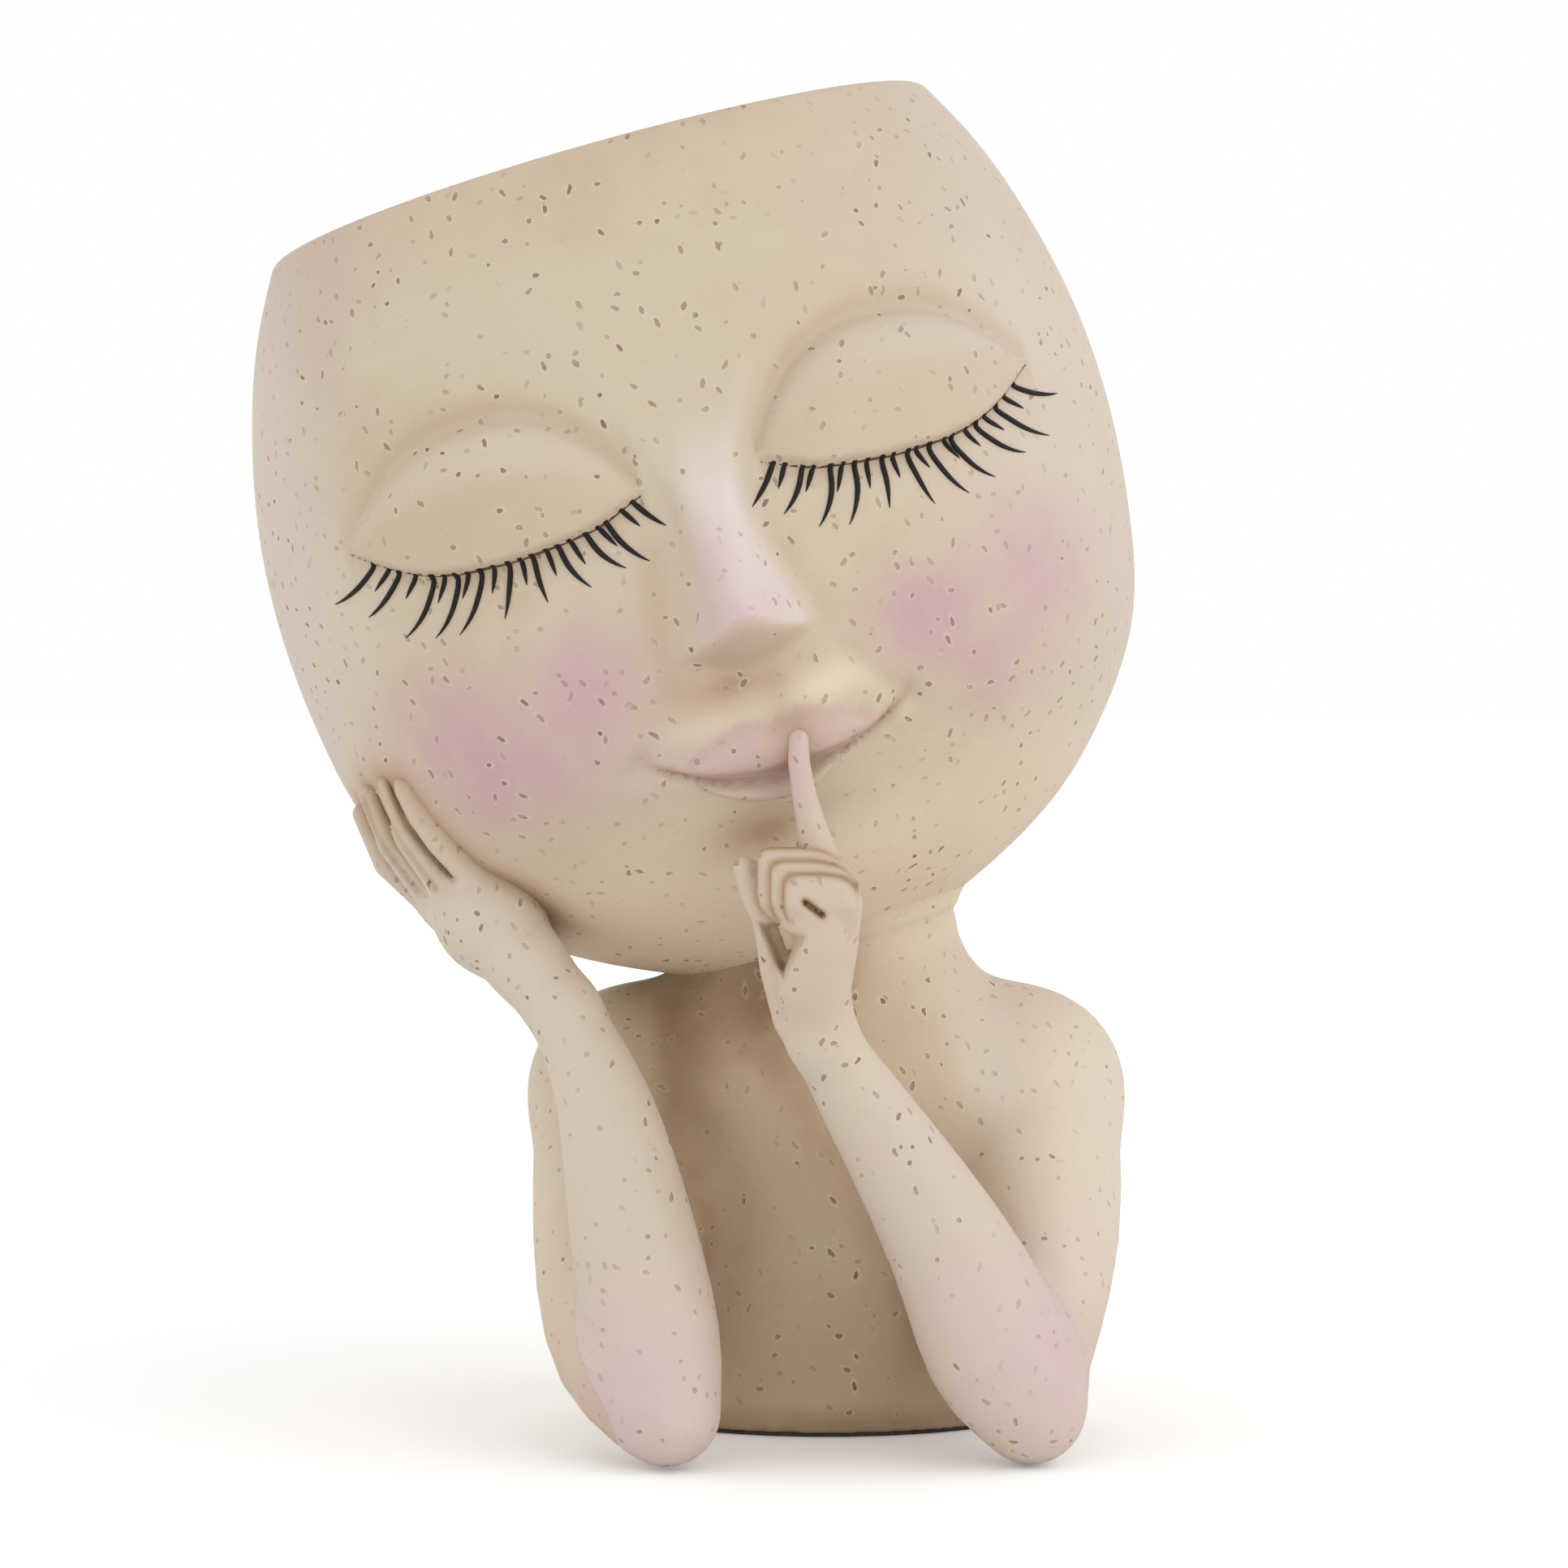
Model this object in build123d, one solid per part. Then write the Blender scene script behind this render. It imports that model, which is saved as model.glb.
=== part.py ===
from build123d import *
import math
import os

# Head planter: a hollow head that leans on a small bust with folded arms.
# Millimetres and degrees. The face looks along -Y, +Z is up, and the origin is on the floor
# under the middle of the bust. Right and left are the figure's own, so right is -X.

# Head: a bowl-like head, measured along its own leaning axis from the rim down
HEAD_WIDTH = 128.0
HEAD_DEPTH = 112.5
HEAD_HEIGHT = 118.8
HEAD_WALL = 6.0
HEAD_LEAN = 15.8
FACE_TURN = 3.0
RIM_FILLET = 2.0
FLOOR_THICKNESS = 8.0
HEAD_SECTION_SHARES = (
    (0.000, 0.783),
    (0.075, 0.858),
    (0.180, 0.930),
    (0.330, 0.989),
    (0.450, 1.000),
    (0.600, 0.974),
    (0.730, 0.904),
    (0.830, 0.774),
    (0.910, 0.613),
    (0.965, 0.433),
    (1.000, 0.286),
)

# Face relief: sizes of the forms, and their places as shares of the head's half width,
# half depth and height
EYE_LENGTH = 46.0
LID_HEIGHT = 24.0
LID_TURN = 25.0
NOSE_BRIDGE_WIDTH = 7.0
NOSE_TIP_WIDTH = 12.4
NOSE_WING_WIDTH = 8.0
UPPER_LIP_LENGTH = 17.0
LOWER_LIP_LENGTH = 19.0
LIP_THICKNESS = 7.0
LIP_TILT = 10.0
LIP_TURN = 9.0
LID_SHARES = (0.430, -0.755, -0.372)
NOSE_BRIDGE_SHARES = (0.000, -0.969, -0.385)
NOSE_TIP_SHARES = (0.000, -1.058, -0.586)
NOSE_WING_SHARES = (0.085, -1.004, -0.607)
UPPER_LIP_SHARES = (0.080, -0.885, -0.728)
LOWER_LIP_SHARES = (0.000, -0.846, -0.772)

# Bust
PAD_THICKNESS = 2.0
TORSO_HEIGHT = 68.4
BASE_WIDTH = 66.0
BASE_DEPTH = 50.0
CHEST_WIDTH = 72.0
CHEST_DEPTH = 48.0
NECK_WIDTH = 42.0
NECK_DEPTH = 38.0
NECK_OFFSET = -2.0
HEAD_SHIFT = -1.6
HEAD_FORWARD = 2.0
TORSO_WALL = 6.0
TORSO_SECTION_SHARES = (
    (0.000, 0.00, 0.00, 0.00),
    (0.410, 0.70, 0.00, 0.00),
    (0.730, 1.00, 0.00, 0.00),
    (0.833, 1.00, 0.17, 0.05),
    (0.942, 1.00, 0.70, 0.18),
    (1.080, 1.00, 1.06, 0.50),
)
CAVITY_TOP_SHARE = 0.70
CAVITY_TOP_WIDTH = 38.0
CAVITY_TOP_DEPTH = 28.0

# Arms
SHOULDER_WIDTH = 89.5
SHOULDER_RADIUS = 15.5
SHOULDER_DROP = 22.0
ARM_RADIUS = 12.6
UPPER_ELBOW_RADIUS = 9.2
ELBOW_RADIUS = 10.2
ARM_MIDDLE_SHARE = 0.55
JOINT_COVER_SHARE = 0.94
FOREARM_BELLY_SHARE = 0.40
FOREARM_TAPER_SHARE = 0.75
BELLY_WIDTH = 17.0
TAPER_WIDTH = 12.4
RIGHT_WRIST_WIDTH = 12.4
LEFT_WRIST_WIDTH = 10.4
FLOOR_GAP = 0.5
RIGHT_ELBOW_SPREAD = 24.8
RIGHT_ELBOW_REACH = 48.0
RIGHT_UPPER_SPREAD = 30.6
RIGHT_UPPER_REACH = 33.0
LEFT_ELBOW_SPREAD = 27.4
LEFT_ELBOW_REACH = 44.5
LEFT_UPPER_SPREAD = 29.0
LEFT_UPPER_REACH = 31.0

# Hand on the cheek: knuckles and fingertips from the index to the little finger, as shares of
# the head's half width, half depth and height
RIGHT_KNUCKLE_SHARES = (
    (-0.745, -0.414, -0.795),
    (-0.810, -0.264, -0.788),
    (-0.852, -0.123, -0.778),
    (-0.879, -0.002, -0.766),
)
RIGHT_TIP_SHARES = (
    (-0.833, -0.485, -0.664),
    (-0.891, -0.389, -0.654),
    (-0.936, -0.267, -0.662),
    (-0.966, -0.137, -0.688),
)
RIGHT_PALM_SHARES = (-0.720, -0.400, -0.880)
RIGHT_WRIST_SHARES = (-0.594, -0.533, -0.964)
RIGHT_THUMB_BASE_SHARES = (-0.610, -0.200, -0.924)
RIGHT_THUMB_TIP_SHARES = (-0.690, 0.090, -0.893)
PALM_WIDTH = 19.0
PALM_THICKNESS = 10.0
KNUCKLE_SPAN = 23.0
FINGER_WIDTH = 6.4
FINGERTIP_WIDTH = 4.4

# Fist with the raised finger: the fingertip is placed on the lips, the rest hangs from it
POINTER_TIP_SHARES = (0.045, -0.981, -0.730)
POINTER_LENGTH = 17.0
POINTER_LEAN = 20.0
POINTER_WIDTH = 5.6
POINTER_TIP_WIDTH = 3.8
FIST_WIDTH = 17.0
FIST_HEIGHT = 9.0
FINGER_PITCH = 4.0
CURL_WIDTH = 4.6
CURL_BEND = 2.6
CURL_PATH_SHARES = ((0.10, 0.00), (-0.62, 0.00), (-0.62, -0.66), (-0.10, -0.66))
CURL_SHIFT_SHARES = (0.06, -0.10)
CURLED_FINGERS = 3
FIST_PALM_WIDTH = 15.0
FIST_PALM_THICKNESS = 12.0
FIST_PALM_SHIFT = 2.0
LEFT_WRIST_DROP = 20.5
LEFT_WRIST_SHIFT = 4.9
LEFT_WRIST_FORWARD = 2.5
THUMB_BASE_SHARES = (-0.30, -1.20)
THUMB_TIP_SHARES = (-0.74, -0.10)

# Joining pieces and drain
SLEEVE_DIAMETER = 13.0
SLEEVE_BORE = 9.2
SLEEVE_LIP = 2.0
SLEEVE_DEPTH = 12.0
GLUE_CLEARANCE = 0.1
CUT_OVERRUN = 5.0
DOWEL_DIAMETER = 4.0
PLATE_THICKNESS = 3.0
PLATE_LEDGE = 2.0
DRAIN_DIAMETER = 8.0
DRAIN_SETBACK = 12.0
PAD_INSET = 1.0
PLUG_CLEARANCE = 0.08
PLUG_SEAT_GAP = 0.05
PLUG_STEM_LENGTH = 9.0
PLUG_FLANGE_WIDTH = 17.0
PLUG_FLANGE_THICKNESS = 2.4
PLUG_KNOB_WIDTH = 9.0
PLUG_KNOB_HEIGHT = 4.4
PLUG_KNOB_FILLET = 1.8
PLUG_WAIST_WIDTH = 5.0
PLUG_WAIST_HEIGHT = 4.0
PLUG_FILLET = 0.8

half_width = HEAD_WIDTH / 2
half_depth = HEAD_DEPTH / 2
socket_top = FLOOR_THICKNESS - SLEEVE_LIP
torso_top = PAD_THICKNESS + TORSO_HEIGHT

lean = math.radians(HEAD_LEAN)
head_across = Vector(math.cos(lean), 0, math.sin(lean))
head_up = Vector(-math.sin(lean), 0, math.cos(lean))
seat_centre = Vector(HEAD_SHIFT, -HEAD_FORWARD, torso_top)
rim_centre = seat_centre + head_up * HEAD_HEIGHT
head_plane = Plane(origin=rim_centre, x_dir=head_across, z_dir=head_up)
head_place = head_plane.location * Rotation(0, 0, FACE_TURN)

on_end = (Align.CENTER, Align.CENTER, Align.MIN)
sideways_x = Vector(1, 0, 0)
sideways_y = Vector(0, 1, 0)


def on_face(shares, side=1):
    """Point of the head's own frame at shares of its half width, half depth and height."""
    x, y, z = shares
    return Vector(side * x * half_width, y * half_depth, z * HEAD_HEIGHT)


def on_head(shares):
    """The same point in the part's frame."""
    return (head_place * Pos(*on_face(shares))).position


def between(start, end, share):
    return start + (end - start) * share


def ball(centre, radius):
    return Pos(*centre) * Sphere(radius)


def spheroid(centre, length, width, turn=(0, 0, 0)):
    """Egg-like form turned about its own X axis, placed at centre."""
    arc = EllipticalCenterArc((0, 0), length / 2, width / 2, 0, arc_size=180)
    form = revolve(make_face([arc, Line(arc @ 1, arc @ 0)]), Axis.X)
    return Pos(*centre) * Rotation(*turn) * form


def rod(start, end, diameter, extra=0):
    """Round bar from start to end, longer by extra at both ends."""
    along = (end - start).normalized()
    place = Plane(origin=start - along * extra, z_dir=along)
    length = (end - start).length + extra + extra
    return place * Cylinder(diameter / 2, length, align=on_end)


def limb(stations, across):
    """Loft through (point, width, thickness) stations, each square to the run of the limb."""
    points = [station[0] for station in stations]
    sections = []
    for index, (point, width, thickness) in enumerate(stations):
        before = points[max(index - 1, 0)]
        after = points[min(index + 1, len(points) - 1)]
        along = (after - before).normalized()
        sideways = (across - along * across.dot(along)).normalized()
        place = Plane(origin=point, x_dir=sideways, z_dir=along)
        sections.append(place * Ellipse(width / 2, thickness / 2))
    return loft(sections)


def finger(base, tip, base_width, tip_width):
    """Tapered finger with a round base and a round tip, turned about its own axis."""
    length = (tip - base).length
    base_radius = base_width / 2
    tip_radius = tip_width / 2
    side = Line((base_radius, 0), (tip_radius, length))
    tip_arc = CenterArc((0, length), tip_radius, 0, 90)
    base_arc = CenterArc((0, 0), base_radius, 270, 90)
    axis = Line((0, length + tip_radius), (0, -base_radius))
    profile = make_face([base_arc, side, tip_arc, axis])
    form = revolve(Plane.XZ * profile, Axis.Z)
    return Plane(origin=base, z_dir=(tip - base).normalized()) * form


# Head

def head_ring(depth, radius):
    """Ellipse of the head at a depth below the rim, as wide as radius says."""
    return Pos(0, 0, -depth) * Ellipse(radius, radius * half_depth / half_width)


def make_head_outer():
    rings = [head_ring(depth * HEAD_HEIGHT, radius * half_width) for depth, radius in HEAD_SECTION_SHARES]
    return loft(rings)


def make_head_cavity():
    """Inside of the pot: the outer rings set in by the wall, cut off level at the floor."""
    sizes = [(depth * HEAD_HEIGHT, radius * half_width) for depth, radius in HEAD_SECTION_SHARES]
    rings = []
    for (depth, radius), (before, low), (after, high) in zip(sizes[1:], sizes, sizes[2:]):
        slope = (high - low) / (after - before)
        rings.append(head_ring(depth, radius - HEAD_WALL * math.hypot(1, slope)))
    (rim_depth, rim_radius), (next_depth, next_radius) = sizes[:2]
    slope = (next_radius - rim_radius) / (next_depth - rim_depth)
    rim_inner = rim_radius - HEAD_WALL * math.hypot(1, slope)
    mouth = [head_ring(-HEAD_WALL, rim_inner - HEAD_WALL * slope), head_ring(0, rim_inner)]
    return loft(mouth + rings) - seat_cylinder(HEAD_WIDTH, -HEAD_HEIGHT, FLOOR_THICKNESS)


def seat_cylinder(diameter, low, high):
    """Cylinder on the head's axis between two heights above the neck seat."""
    return Pos(0, 0, low - HEAD_HEIGHT) * Cylinder(diameter / 2, high - low, align=on_end)


def make_relief():
    """Nose, lips and closed lids: round forms that stand partly out of the head."""
    forms = [
        finger(on_face(NOSE_BRIDGE_SHARES), on_face(NOSE_TIP_SHARES), NOSE_BRIDGE_WIDTH, NOSE_TIP_WIDTH),
        spheroid(on_face(LOWER_LIP_SHARES), LOWER_LIP_LENGTH, LIP_THICKNESS),
    ]
    for side in (-1, 1):
        wing = on_face(NOSE_WING_SHARES, side)
        lip = on_face(UPPER_LIP_SHARES, side)
        lid = on_face(LID_SHARES, side)
        forms.append(ball(wing, NOSE_WING_WIDTH / 2))
        forms.append(spheroid(lip, UPPER_LIP_LENGTH, LIP_THICKNESS, (0, -side * LIP_TILT, side * LIP_TURN)))
        forms.append(spheroid(lid, EYE_LENGTH, LID_HEIGHT, (0, 0, side * LID_TURN)))
    return forms


def make_head_body():
    """Head in its own frame with its relief, not yet hollow."""
    body = make_head_outer()
    for form in make_relief():
        body = body + form
    return body


def make_head_pot(body):
    pot = body - make_head_cavity()
    rim_edges = [edge for edge in pot.edges() if abs(edge.center().Z) < GLUE_CLEARANCE]
    pot = fillet(rim_edges, RIM_FILLET)
    pot = pot - seat_cylinder(SLEEVE_DIAMETER + GLUE_CLEARANCE * 2, -CUT_OVERRUN, socket_top)
    return pot - seat_cylinder(SLEEVE_BORE, 0, FLOOR_THICKNESS + CUT_OVERRUN)


# Bust

def torso_faces():
    """Ellipses of the bust from its base up into the head."""
    faces = []
    for height_share, chest_share, neck_share, tilt_share in TORSO_SECTION_SHARES:
        width = BASE_WIDTH + (CHEST_WIDTH - BASE_WIDTH) * chest_share
        depth = BASE_DEPTH + (CHEST_DEPTH - BASE_DEPTH) * chest_share
        width = width + (NECK_WIDTH - width) * neck_share
        depth = depth + (NECK_DEPTH - depth) * neck_share
        height = PAD_THICKNESS + TORSO_HEIGHT * height_share
        centre = Pos((HEAD_SHIFT + NECK_OFFSET) * neck_share, -HEAD_FORWARD * neck_share, height)
        tilt = Rotation(0, -HEAD_LEAN * tilt_share, 0)
        faces.append(centre * tilt * Ellipse(width / 2, depth / 2))
    return faces


def make_torso_hollow():
    """Tapering hollow that is open at the base, with the rebate for the base plate."""
    low = Pos(0, 0, PAD_THICKNESS - CUT_OVERRUN)
    top = Pos(0, 0, PAD_THICKNESS + TORSO_HEIGHT * CAVITY_TOP_SHARE)
    hollow = loft([low * base_ellipse(TORSO_WALL), top * Ellipse(CAVITY_TOP_WIDTH / 2, CAVITY_TOP_DEPTH / 2)])
    rebate = extrude(base_ellipse(TORSO_WALL - PLATE_LEDGE), PLATE_THICKNESS + CUT_OVERRUN)
    return hollow + low * rebate


def make_upper_arm(side, elbow):
    """Shoulder, upper arm and the back of the elbow."""
    start = Vector(side * (SHOULDER_WIDTH / 2 - SHOULDER_RADIUS), 0, torso_top - SHOULDER_DROP)
    middle = between(start, elbow, ARM_MIDDLE_SHARE)
    shoulder_end = SHOULDER_RADIUS * JOINT_COVER_SHARE
    elbow_end = UPPER_ELBOW_RADIUS * JOINT_COVER_SHARE
    rounds = ((start, shoulder_end), (middle, ARM_RADIUS), (elbow, elbow_end))
    arm = limb([(point, radius * 2, radius * 2) for point, radius in rounds], sideways_x)
    return arm + ball(start, SHOULDER_RADIUS) + ball(elbow, UPPER_ELBOW_RADIUS)


def base_ellipse(inset):
    return Ellipse(BASE_WIDTH / 2 - inset, BASE_DEPTH / 2 - inset)


def make_torso():
    torso = loft(torso_faces()) - head_place * make_head_outer()
    for side, elbow in ((-1, right_upper_elbow), (1, left_upper_elbow)):
        torso = torso + make_upper_arm(side, elbow)
    socket = head_place * seat_cylinder(SLEEVE_DIAMETER + GLUE_CLEARANCE * 2, -SLEEVE_DEPTH, CUT_OVERRUN)
    drain = head_place * seat_cylinder(SLEEVE_BORE, -TORSO_HEIGHT / 2, 0)
    return torso - make_torso_hollow() - socket - drain


def drain_hole():
    tall = PAD_THICKNESS + PLATE_THICKNESS + CUT_OVERRUN
    return Pos(0, DRAIN_SETBACK, -CUT_OVERRUN) * Cylinder(DRAIN_DIAMETER / 2, tall + CUT_OVERRUN, align=on_end)


def make_base_plate():
    plate = extrude(base_ellipse(TORSO_WALL - PLATE_LEDGE + GLUE_CLEARANCE), PLATE_THICKNESS)
    return Pos(0, 0, PAD_THICKNESS) * plate - drain_hole()


def make_base_pad():
    return extrude(base_ellipse(PAD_INSET), PAD_THICKNESS) - drain_hole()


# Forearms

def make_forearm(elbow, wrist, wrist_width, hand):
    """Round elbow and tapering forearm, with the hand added at the wrist."""
    belly = between(elbow, wrist, FOREARM_BELLY_SHARE)
    taper = between(elbow, wrist, FOREARM_TAPER_SHARE)
    elbow_end = ELBOW_RADIUS * 2 * JOINT_COVER_SHARE
    wrist_end = wrist_width * JOINT_COVER_SHARE
    widths = ((elbow, elbow_end), (belly, BELLY_WIDTH), (taper, TAPER_WIDTH), (wrist, wrist_end))
    arm = limb([(point, width, width) for point, width in widths], sideways_x)
    arm = arm + ball(elbow, ELBOW_RADIUS) + ball(wrist, wrist_width / 2)
    for form in hand:
        arm = arm + form
    return arm


def right_hand():
    """Open hand whose four fingers lie round the cheek, with the thumb along the jaw."""
    knuckles = [on_head(shares) for shares in RIGHT_KNUCKLE_SHARES]
    tips = [on_head(shares) for shares in RIGHT_TIP_SHARES]
    palm = on_head(RIGHT_PALM_SHARES)
    knuckle_middle = between(knuckles[0], knuckles[-1], 1 / 2)
    wrist_end = RIGHT_WRIST_WIDTH * JOINT_COVER_SHARE
    stations = [
        (right_wrist, wrist_end, wrist_end),
        (palm, PALM_WIDTH, PALM_THICKNESS),
        (knuckle_middle, KNUCKLE_SPAN, FINGER_WIDTH),
    ]
    forms = [limb(stations, (knuckles[-1] - knuckles[0]).normalized())]
    for knuckle, tip in zip(knuckles, tips):
        forms.append(finger(palm, knuckle, PALM_THICKNESS, FINGER_WIDTH))
        forms.append(finger(knuckle, tip, FINGER_WIDTH, FINGERTIP_WIDTH))
    thumb_base = on_head(RIGHT_THUMB_BASE_SHARES)
    thumb_tip = on_head(RIGHT_THUMB_TIP_SHARES)
    forms.append(finger(palm, thumb_base, PALM_THICKNESS, FINGER_WIDTH))
    forms.append(finger(thumb_base, thumb_tip, FINGER_WIDTH, FINGERTIP_WIDTH))
    return forms


def fist_point(across_share, up_share, forward):
    """Point of the fist: shares of its width and height, and a length towards the front."""
    return pointer_base + Vector(across_share * FIST_WIDTH, -forward, up_share * FIST_HEIGHT)


def curled_finger(number):
    """One bent finger of the fist: a round bar that folds back under itself."""
    across_step, up_step = CURL_SHIFT_SHARES
    corners = [
        fist_point(across + across_step * number, up + up_step * number, FINGER_PITCH * number)
        for across, up in CURL_PATH_SHARES
    ]
    path = FilletPolyline(*corners, radius=CURL_BEND)
    section = Plane(origin=path @ 0, z_dir=path % 0) * Circle(CURL_WIDTH / 2)
    bar = sweep(section, path=path)
    return bar + ball(corners[0], CURL_WIDTH / 2) + ball(corners[-1], CURL_WIDTH / 2)


def left_hand():
    """Fist seen from its little finger, with the first finger raised to the lips."""
    knuckle = fist_point(0, 0, FINGER_PITCH * CURLED_FINGERS / 2)
    palm = between(left_wrist, knuckle, 1 / 2) - sideways_x * FIST_PALM_SHIFT
    wrist_end = LEFT_WRIST_WIDTH * JOINT_COVER_SHARE
    stations = [
        (left_wrist, wrist_end, wrist_end),
        (palm, FIST_PALM_WIDTH, FIST_PALM_THICKNESS),
        (knuckle, FIST_PALM_WIDTH, FIST_PALM_THICKNESS),
    ]
    forms = [limb(stations, sideways_y)]
    forms.append(finger(pointer_base, pointer_tip, POINTER_WIDTH, POINTER_TIP_WIDTH))
    forms.append(finger(fist_point(*THUMB_BASE_SHARES, 0), fist_point(*THUMB_TIP_SHARES, 0), CURL_WIDTH, CURL_WIDTH))
    for number in range(1, CURLED_FINGERS + 1):
        forms.append(curled_finger(number))
    return forms


# Joining pieces and drain plug

def make_neck_sleeve():
    sleeve = seat_cylinder(SLEEVE_DIAMETER, -SLEEVE_DEPTH, socket_top)
    return sleeve - seat_cylinder(SLEEVE_BORE, -SLEEVE_DEPTH - CUT_OVERRUN, FLOOR_THICKNESS)


def make_drain_plug():
    """Stopper in the drain bore: stem, flange on the pot's floor, waist and pull knob."""
    flange_low = FLOOR_THICKNESS + PLUG_SEAT_GAP
    flange_high = flange_low + PLUG_FLANGE_THICKNESS
    waist_high = flange_high + PLUG_WAIST_HEIGHT
    stem_width = SLEEVE_BORE - PLUG_CLEARANCE * 2
    stem = seat_cylinder(stem_width, flange_low - PLUG_STEM_LENGTH, flange_high)
    flange = seat_cylinder(PLUG_FLANGE_WIDTH, flange_low, flange_high)
    flange = fillet(flange.edges().filter_by(GeomType.CIRCLE).sort_by(Axis.Z)[-1], PLUG_FILLET)
    waist = seat_cylinder(PLUG_WAIST_WIDTH, flange_high, waist_high)
    knob = seat_cylinder(PLUG_KNOB_WIDTH, waist_high, waist_high + PLUG_KNOB_HEIGHT)
    knob = fillet(knob.edges().filter_by(GeomType.CIRCLE), PLUG_KNOB_FILLET)
    return stem + flange + waist + knob


right_elbow = Vector(-RIGHT_ELBOW_SPREAD, -RIGHT_ELBOW_REACH, ELBOW_RADIUS + FLOOR_GAP)
left_elbow = Vector(LEFT_ELBOW_SPREAD, -LEFT_ELBOW_REACH, ELBOW_RADIUS + FLOOR_GAP)
right_upper_elbow = Vector(-RIGHT_UPPER_SPREAD, -RIGHT_UPPER_REACH, UPPER_ELBOW_RADIUS + PAD_THICKNESS)
left_upper_elbow = Vector(LEFT_UPPER_SPREAD, -LEFT_UPPER_REACH, UPPER_ELBOW_RADIUS + PAD_THICKNESS)
right_wrist = on_head(RIGHT_WRIST_SHARES)
pointer_tip = on_head(POINTER_TIP_SHARES)
pointer_lean = math.radians(POINTER_LEAN)
pointer_run = Vector(-math.sin(pointer_lean), 0, math.cos(pointer_lean))
pointer_base = pointer_tip - pointer_run * POINTER_LENGTH
left_wrist = pointer_base - Vector(LEFT_WRIST_SHIFT, LEFT_WRIST_FORWARD, LEFT_WRIST_DROP)

head_body = make_head_body()
head_solid = head_place * head_body
torso = make_torso()

right_forearm = make_forearm(right_elbow, right_wrist, RIGHT_WRIST_WIDTH, right_hand())
left_forearm = make_forearm(left_elbow, left_wrist, LEFT_WRIST_WIDTH, left_hand())

nodes = {
    "head_pot": head_place * make_head_pot(head_body),
    "neck_sleeve": head_place * make_neck_sleeve(),
    "drain_plug": head_place * make_drain_plug(),
    "base_plate": make_base_plate(),
    "base_pad": make_base_pad(),
}
arms = (
    ("right", right_forearm, right_elbow, right_upper_elbow),
    ("left", left_forearm, left_elbow, left_upper_elbow),
)
for name, forearm, elbow, upper_elbow in arms:
    hole = rod(upper_elbow, elbow, DOWEL_DIAMETER + GLUE_CLEARANCE * 2, GLUE_CLEARANCE)
    nodes[name + "_forearm"] = forearm - torso - head_solid - hole
    nodes[name + "_elbow_dowel"] = rod(upper_elbow, elbow, DOWEL_DIAMETER)
    torso = torso - hole
nodes["torso"] = torso

os.makedirs("parts", exist_ok=True)
for name, shape in nodes.items():
    export_step(shape, f"parts/{name}.step")
    print(name, len(shape.solids()), round(shape.volume))
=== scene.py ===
import math
import random

import bpy
import numpy as np
import openvdb
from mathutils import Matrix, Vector


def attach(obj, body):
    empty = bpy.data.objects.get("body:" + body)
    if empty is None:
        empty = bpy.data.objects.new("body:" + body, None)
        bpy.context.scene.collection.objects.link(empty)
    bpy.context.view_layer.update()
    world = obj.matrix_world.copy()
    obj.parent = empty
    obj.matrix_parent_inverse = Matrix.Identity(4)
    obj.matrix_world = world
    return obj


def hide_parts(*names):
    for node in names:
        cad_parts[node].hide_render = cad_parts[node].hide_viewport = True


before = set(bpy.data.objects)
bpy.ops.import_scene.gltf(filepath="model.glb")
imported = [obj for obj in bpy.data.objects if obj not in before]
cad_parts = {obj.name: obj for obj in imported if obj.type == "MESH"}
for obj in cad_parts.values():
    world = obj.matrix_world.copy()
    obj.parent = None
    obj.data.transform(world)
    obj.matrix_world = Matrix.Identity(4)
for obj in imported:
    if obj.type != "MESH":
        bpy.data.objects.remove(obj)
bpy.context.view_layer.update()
mm = 0.001

scene = bpy.context.scene
scene.view_settings.view_transform = "Standard"


# Small tools: smooth steps, distances and meshes, all in millimetres

def gauss(distance, width):
    return np.exp(-(distance / width) ** 2)


def ramp(value, low, high):
    share = np.clip((value - low) / (high - low), 0, 1)
    return share * share * (3 - 2 * share)


def smoothMin(a, b, soft):
    near = np.maximum(soft - np.abs(a - b), 0) / soft
    return np.minimum(a, b) - near * near * soft / 4


def smoothMax(a, b, soft):
    return -smoothMin(-a, -b, soft)


def cone(points, start, end, startRadius, endRadius):  # round cone between two balls
    start = np.asarray(start, float)
    run = np.asarray(end, float) - start
    length = math.sqrt(run @ run)
    slope = (startRadius - endRadius) / length
    apart = points - start
    along = apart @ run / length
    aside = np.sqrt(np.maximum((apart * apart).sum(-1) - along * along, 0))
    share = np.clip((along - aside * slope / math.sqrt(1 - slope * slope)) / length, 0, 1)
    apart = apart - share[..., None] * run
    return np.sqrt((apart * apart).sum(-1)) - startRadius + share * slope * length


def chain(points, stations):  # round cones through (point, radius) stations
    field = None
    for (start, startRadius), (end, endRadius) in zip(stations, stations[1:]):
        piece = cone(points, start, end, startRadius, endRadius)
        field = piece if field is None else np.minimum(field, piece)
    return field


def egg(points, centre, radii):  # ellipsoid
    apart = points - np.asarray(centre, float)
    scaled = np.sqrt(((apart / np.asarray(radii)) ** 2).sum(-1)) + 1e-9
    length = np.sqrt((apart * apart).sum(-1))
    return np.where(scaled > 0.3, length * (1 - 1 / scaled), -min(radii))


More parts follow.
